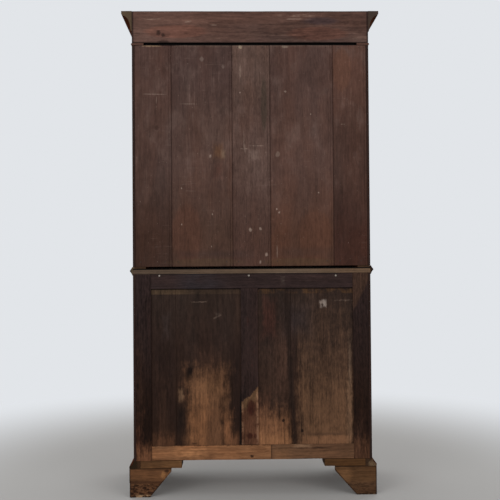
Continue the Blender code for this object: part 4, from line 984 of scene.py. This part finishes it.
wood = timber("cornice_back_wood", "X", 211, (83, 61, 54),
              heart=2.0, rings=70.0, figure=0.14, streaks=1.6, mottle=1.3, flecks=1.2)
knots = patch(wood, 0.396, 1.990, 0.009, 0.011, 0.9) | patch(wood, 0.376, 1.979, 0.009, 0.008, 0.9)
knots = knots | patch(wood, 0.372, 1.949, 0.024, 0.007, 0.9)
stain(
    wood,
    (wood.streak.rise(0.56, 0.70) * wood.cloud.rise(0.42, 0.58) * 0.45, 124, 104, 92),
    (wood.streak.fall(0.32, 0.44) * wood.cloud.rise(0.45, 0.60) * 0.45, 58, 40, 36),
    (wood.x.rise(-0.1, 0.5) * 0.4, 98, 72, 63),
    (along_grain(wood, patch(wood, 0.32, 1.995, 0.13, 0.028)) * 0.45, 104, 66, 54),
    (along_grain(wood, patch(wood, -0.29, 1.985, 0.13, 0.030)) * 0.45, 98, 60, 48),
    (patch(wood, -0.304, 2.040, 0.075, 0.016, 0.7) * 0.55, 56, 47, 52),
    (along_grain(wood, patch(wood, 0.386, 1.985, 0.040, 0.018)) * 0.35, 58, 40, 35),
    (knots * (wood.cloud * 0.6 + 0.45), 32, 22, 19),
    *((scratch(wood, *line, 0.004) * 0.4, 138, 118, 106) for line in CORNICE_SCRATCHES),
    (abs(wood.plain_x).rise(0.5015, 0.5040) * 0.8, 38, 27, 25),
    (wood.plain_z.rise(2.076, 2.083) * 0.5, 44, 33, 30),
    # Painted shade, near-black, on the bottom edge of the board over the gap.
    (wood.plain_z.fall(1.9468, 1.9482), 7, 5, 5),
)
low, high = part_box("cornice_back_board")
strip_low, strip_high = (-0.4595, 0.1860, CORNICE_BASE + SEAT), (0.4595, 0.2105, low.z - 0.0002)
painted_shade_strip = timber("cornice_gap_shade_strip_wood", "X", 227, (104, 73, 49), rings=80.0, figure=0.22)
# Its rear face is painted near-black, as the shade in the gap under the cornice board.
stain(painted_shade_strip, (painted_shade_strip.y.rise(0.2042, 0.2056), 7, 5, 5))
set_in("cornice_gap_shade_strip", shaped(sawn(strip_low, strip_high, "X", 5, 0.0001)), (polish(painted_shade_strip),) * 2,
       "carcase", "back_wood")
set_in("cornice_back_plank", shaped(sawn(low, high, "X", 211, 0.0012)), (polish(wood), END_GRAIN),
       "carcase", "back_wood", "cornice_back_board", ease=0.001)

# Lower doors: frames of polished mahogany, tenoned at the corners, with an ovolo round the inside edge and a
# raised panel of figured wood in the groove. Each hangs on two brass butts at its outer stile.
DOOR_NEAR, DOOR_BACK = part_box("lower_right_door_frame")[0].x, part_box("lower_right_door_frame")[1].y
DOOR_REAR, JOINT_GAP = DOOR_BACK - SEAT, 0.0002


def door_frame(door, side, opening, ovolo_wide):
    """Stiles and rails of a door, as far as the ovolo round its opening (near, far, bottom, top)."""
    low_z, high_z = (corner.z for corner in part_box(f"{door}_frame"))
    near, far, bottom, top = (edge + turn * ovolo_wide for edge, turn in zip(opening, (-1, 1, -1, 1)))
    lengths = {
        "hanging_stile": (far, HALF, low_z, high_z, "Z"),
        "meeting_stile": (DOOR_NEAR, near, low_z, high_z, "Z"),
        "top_rail": (near + JOINT_GAP, far - JOINT_GAP, top, high_z, "X"),
        "bottom_rail": (near + JOINT_GAP, far - JOINT_GAP, low_z, bottom, "X"),
    }
    for word, (from_x, to_x, from_z, to_z, run) in lengths.items():
        low_x, high_x = sorted((side * from_x, side * to_x))
        rings = sawn((low_x, FRONT, from_z), (high_x, DOOR_REAR, to_z), run, 300 + from_z + from_x, 0.0002)
        nodes = (f"{door}_frame",) if word == "hanging_stile" else ()
        set_in(f"{door}_{word}", shaped(rings), (SHOW_WOOD[run], END_GRAIN),
               door, "show_wood", *nodes, ease=0.0006)


def ovolo(wide, across, deep, groove):
    """Points of an ovolo with a small step before it: (out, y), as far as a groove behind."""
    step = FRONT + 0.0012
    points = [(wide, FRONT), (across, FRONT), (across, step)]
    points += arc((across, step + deep), (across, deep), 270, 180, 10)
    return points + [(0.0, FRONT + groove), (wide, FRONT + groove)]


def mitred_loops(side, opening, *sections):
    """Mouldings of (out, y) points mitred round an opening; their runs take the two finishes in turn."""
    near, far, bottom, top = opening
    corners = ((near, bottom, -1, -1), (far, bottom, 1, -1), (far, top, 1, 1), (near, top, -1, 1))
    body = bmesh.new()
    for section in sections:
        first = len(body.faces)
        rings = []
        for x, z, over, up in corners:
            rings.append([Vector((side * (x + over * out), y, z + up * out)) for out, y in section])
        raise_shape(body, rings, looped=True)
        for number, face in enumerate(list(body.faces)[first:]):
            face.material_index = number // len(section) % 2
    return body


LOWER_OPENING, LOWER_OVOLO, GROOVE_REAR = (0.0715, 0.440, 0.2415, 0.8715), 0.007, -0.1603
lower_ovolo = ovolo(LOWER_OVOLO, 0.006, 0.0075, 0.0098)
rear_edge = [(LOWER_OVOLO, GROOVE_REAR), (0.0, GROOVE_REAR), (0.0, DOOR_REAR), (LOWER_OVOLO, DOOR_REAR)]
for word, side in (("left", -1), ("right", 1)):
    door = f"lower_{word}_door"
    door_frame(door, side, LOWER_OPENING, LOWER_OVOLO)
    set_in(f"{door}_ovolo", mitred_loops(side, LOWER_OPENING, lower_ovolo, rear_edge),
           (SHOW_WOOD["X"], SHOW_WOOD["Z"]), door, "show_wood", smooth=True)
    wood = timber(f"figured_mahogany_{word}", "Z", 317 - side, (98, 50, 29), heart=side * 0.256, rings=34.0,
                  figure=0.3, streaks=1.2, mottle=1.2, rough=0.34)
    curl = wood.place.noise((26.0, 4.0, 9.0), 4.0, 0.65).rise(0.35, 0.70)
    stain(wood, (curl * 0.45, 66, 30, 18))
    dress(f"{door}_panel", polish(wood, specular=0.25, coat=0.12, depth=0.0002), 0.0006)

# Upper doors: frames like the lower ones, with thin bars that set out thirteen panes about a long hexagon.
# The panes are old drawn glass, bedded on the bars and held in the rebate by a bead.
UPPER_OPENING, UPPER_OVOLO, BAR_DEEP = (0.0535, 0.458, 1.0565, 1.8775), 0.006, 0.013
GLASS_FRONT, BEAD_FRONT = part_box("upper_right_door_glass")[0].y, -0.1610
PANE_FACES, PANE_SHARE, PANE_LEAN = (GLASS_FRONT + 0.0004, GLASS_FRONT + 0.0026), 0.985, 0.0016
upper_ovolo = ovolo(UPPER_OVOLO, 0.0052, 0.0065, BAR_DEEP)
glass_bead = [(UPPER_OVOLO, BEAD_FRONT), (-0.002, BEAD_FRONT)]
glass_bead += arc((UPPER_OVOLO, BEAD_FRONT), (0.008, 0.0066), 180, 90, 6)[1:]
bar_side = [(0.0048, FRONT + 0.0078), (0.0066, FRONT + 0.0085), (0.0066, FRONT + BAR_DEEP)]
bar_section = [(-out, y) for out, y in reversed(bar_side)]
bar_section += arc((0.0, FRONT + 0.0055), (0.0046, 0.0047), 170, 370, 12) + bar_side
MID_X, MID_Z = (UPPER_OPENING[0] + UPPER_OPENING[1]) / 2, (UPPER_OPENING[2] + UPPER_OPENING[3]) / 2
HEXAGON_HALF, HEXAGON_RISE, HEXAGON_POINT, BAR_IN = 0.082, 0.175, 0.105, 0.004
near, far = MID_X - HEXAGON_HALF, MID_X + HEXAGON_HALF
under, over = MID_Z - HEXAGON_RISE, MID_Z + HEXAGON_RISE
foot, peak = under - HEXAGON_POINT, over + HEXAGON_POINT
left, right, bottom, top = (edge + turn * BAR_IN for edge, turn in zip(UPPER_OPENING, (-1, 1, -1, 1)))
BARS = [((x, bottom), (x, top)) for x in (near, far)]
BARS += [((MID_X, bottom), (MID_X, foot)), ((MID_X, peak), (MID_X, top))]
BARS += [((start, z), (end, z)) for start, end in ((left, near), (far, right)) for z in (under, MID_Z, over)]
BARS += [((x, z), (MID_X, point)) for x in (near, far) for z, point in ((under, foot), (over, peak))]
PANES = [[(near, under), (MID_X, foot), (far, under), (far, over), (MID_X, peak), (near, over)]]
for start, end in ((near, MID_X), (far, MID_X)):
    PANES.append([(start, bottom), (end, bottom), (end, foot), (start, under)])
    PANES.append([(start, over), (end, peak), (end, top), (start, top)])
for start, end in ((left, near), (far, right)):
    for low, high in ((bottom, under), (under, MID_Z), (MID_Z, over), (over, top)):
        PANES.append([(start, low), (end, low), (end, high), (start, high)])

OLD_GLASS, place = blank_finish("old_drawn_glass")
waves = place.noise((16.0, 16.0, 7.0), 1.0)
close_finish(OLD_GLASS, {
    "Base Color": (*shade(78, 88, 82), 1.0),
    "Roughness": 0.15,
    "Specular IOR Level": 0.2,
    "Normal": place.node("Bump", None, {"Strength": 0.25, "Distance": 0.003, "Height": waves}),
    "Alpha": 0.10 + place.noise(5.0, 0.0).rise(0.30, 0.70) * 0.02,
})

for door, side in (("upper_left_door", -1), ("upper_right_door", 1)):
    door_frame(door, side, UPPER_OPENING, UPPER_OVOLO)
    set_in(f"{door}_ovolo_and_bead", mitred_loops(side, UPPER_OPENING, upper_ovolo, glass_bead),
           (SHOW_WOOD["X"], SHOW_WOOD["Z"]), door, "show_wood", smooth=True)
    rows = []
    for start, end in BARS:
        way = Vector((end[0] - start[0], 0.0, end[1] - start[1])).normalized()
        rings = []
        for x, z in (start, end):
            rings.append([Vector((side * (x - way.z * out), y, z + way.x * out)) for out, y in bar_section])
        rows.append(rings)
    set_in(f"{door}_bars", shaped(*rows), (SHOW_WOOD["Z"],) * 2, door, "show_wood", smooth=True)
    rows = []
    for number, outline in enumerate(PANES):
        mid_x, mid_z = (sum(spot[part] for spot in outline) / len(outline) for part in (0, 1))
        lean = [PANE_LEAN * noise.noise((number * 3.3, side * 5.1, part * 7.7)) for part in (0, 1)]
        offsets = [((x - mid_x) * PANE_SHARE, (z - mid_z) * PANE_SHARE) for x, z in outline]
        rings = []
        for y in PANE_FACES:
            rings.append([Vector((side * (mid_x + out), y + lean[0] * out + lean[1] * up, mid_z + up))
                          for out, up in offsets])
        rows.append(rings)
    set_in(f"{door}_panes", shaped(*rows), (OLD_GLASS,) * 2, door, "glass", f"{door}_glass")

# Hinges: eight drawn brass butts let into the doors and the carcase edges, three slotted screws to a leaf.
# The solids are kept for the leaves, knuckles and pins; the brass has darkened with handling.
BRASS, place = blank_finish("aged_brass")
tarnish, pits = place.noise(90.0, 5.0, 0.7).rise(0.42, 0.68), place.noise(700.0, 3.0)
close_finish(BRASS, {
    "Base Color": (tarnish * 0.8).blend((*shade(186, 146, 78), 1.0), (*shade(96, 70, 38), 1.0)),
    "Roughness": 0.30 + tarnish * 0.25,
    "Metallic": 1.0,
    "Normal": place.node("Bump", None, {"Strength": 0.2, "Distance": 0.0002, "Height": pits}),
})
HINGE_IN, SCREW_X, SCREW_RISES, SCREW_RADIUS = 0.110, 0.5015, (-0.022, 0.0, 0.022), 0.0032
CARCASE_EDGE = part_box("lower_right_side")[0].y


def screw(spot, facing, radius, turn):
    """Rings of a countersunk screw head with a slot, facing along Y."""
    slot = math.asin(0.15)
    bows = [[math.tau * step / 24 for step in range(24)]]
    for start in (slot, math.pi + slot):
        bows.append([start + (math.pi - 2 * slot) * step / 12 for step in range(13)])
    rows = []
    for bow, (low, high) in zip(bows, ((-0.0005, 0.0001), (0.0, 0.0004), (0.0, 0.0004))):
        rings = []
        for out, size in ((low, radius), (high - 0.0001, radius), (high, radius * 0.94)):
            circle = [(size * math.cos(angle + turn), size * math.sin(angle + turn)) for angle in bow]
            y = spot[1] + facing * out
            rings.append([Vector((spot[0] + over, y, spot[2] + up)) for over, up in circle])
        rows.append(rings)
    return rows


for stage in ("upper", "lower"):
    for word, side in (("left", -1), ("right", 1)):
        door = f"{stage}_{word}_door"
        low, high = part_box(f"{door}_frame")
        for level, z in (("low", low.z + HINGE_IN), ("high", high.z - HINGE_IN)):
            leaves = (("carcase", "carcase", CARCASE_EDGE, -1), ("door", door, DOOR_BACK, 1))
            for leaf, rides, y, facing in leaves:
                hinge = f"{stage}_{word}_{level}_hinge_{leaf}"
                dress(f"{hinge}_leaf", BRASS, 0.0002)
                rows = []
                for number, rise in enumerate(SCREW_RISES):
                    turn = 3.0 * noise.noise((z * 5.0 + rise * 70.0, side, number))
                    rows += screw((side * SCREW_X, y, z + rise), facing, SCREW_RADIUS, turn)
                set_in(f"{hinge}_screws", shaped(*rows), (BRASS,) * 2, rides, "brass")

# Catches: a turned brass knob in the meeting stile of each right-hand door. Its spindle goes through the
# stile and has a flat tongue on the end, which turns behind the other door.
knob_section = [(0.0035, -0.0290), (0.0035, 0.0004), (0.0118, 0.0004), (0.0120, 0.0010), (0.0119, 0.0017)]
knob_section += [(0.0108, 0.0026), (0.0094, 0.0030), (0.0062, 0.0032), (0.0050, 0.0038), (0.0044, 0.0052)]
knob_section += [(0.0042, 0.0070), (0.0046, 0.0086)] + arc((0.0, 0.0199), (0.0115, 0.0101), -62, 86, 14)
tongue_section = ((-0.1523, 0.0057), (-0.1520, 0.0060), (-0.1500, 0.0060), (-0.1497, 0.0057))
TONGUE_LONG, PLATE_RADIUS = 0.0435, 0.012
for stage in ("upper", "lower"):
    name = f"{stage}_door_catch"
    low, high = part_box(name)
    x, z = (low.x + high.x) / 2, high.z - PLATE_RADIUS
    circle = [(math.cos(math.tau * step / 40), math.sin(math.tau * step / 40)) for step in range(40)]
    knob = []
    for radius, reach in knob_section:
        knob.append([Vector((x + radius * over, FRONT - reach, z + radius * up)) for over, up in circle])
    tongue = []
    for y, size in tongue_section:
        outline = arc((x, z), (size, size), 0, 180, 12)
        outline += [(x - size * 0.72, z - TONGUE_LONG), (x + size * 0.72, z - TONGUE_LONG)]
        tongue.append([Vector((over, y, up)) for over, up in outline])
    set_in(f"{name}_knob", shaped(knob, tongue), (BRASS,) * 2, f"{stage}_catch", "brass", name, smooth=True)

# Back fixings: cut nails through the ends of the upper boards, and three later screws in the top rail of the
# lower back. The nails are rusted iron, the screws dulled steel.
METALS = {}
for name, bright, dulled, grain, rough, metallic in (
    ("dull_iron", (52, 46, 43), (58, 36, 25), 400.0, 0.55, 0.6),
    ("dulled_steel", (150, 140, 130), (92, 82, 74), 500.0, 0.45, 0.5),
):
    material, place = blank_finish(name)
    spots = place.noise(grain, 4.0, 0.7).rise(0.40, 0.65)
    METALS[name] = close_finish(material, {
        "Base Color": spots.blend((*shade(*bright), 1.0), (*shade(*dulled), 1.0)),
        "Roughness": rough + spots * 0.3,
        "Metallic": metallic,
    })
NAIL_HALF_X, NAIL_HALF_Z, NAIL_HEIGHTS = 0.0018, 0.0028, (1.003, 1.925)
NAIL_DEPTHS = [BACK - 0.0020, BACK - 0.0004, BACK - 0.0002]
nails = []
for low_x, high_x in zip(BOARD_SEAMS, BOARD_SEAMS[1:]):
    for x in (low_x + 0.030, high_x - 0.026):
        for z in NAIL_HEIGHTS:
            mid_x = x + 0.006 * noise.noise((x * 40.0, z * 9.0, 1.7))
            low = (mid_x - NAIL_HALF_X, NAIL_DEPTHS[0], z - NAIL_HALF_Z)
            high = (mid_x + NAIL_HALF_X, NAIL_DEPTHS[-1], z + NAIL_HALF_Z)
            nails.append(sawn(low, high, "Y", x * 50, 0.0004, NAIL_DEPTHS))
set_in("upper_back_nails", shaped(*nails), (METALS["dull_iron"],) * 2, "carcase", "brass")
screws = []
for x, z, turn in ((0.397, 0.944, 0.4), (0.014, 0.942, 1.3), (-0.360, 0.940, 2.2)):
    screws += screw((x, BACK - 0.0005, z), 1, 0.0040, turn)
set_in("back_rail_screws", shaped(*screws), (METALS["dulled_steel"],) * 2, "carcase", "brass")

size = {"cad": [list(cad_low), list(cad_high)], "visual": [list(corner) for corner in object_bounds()]}
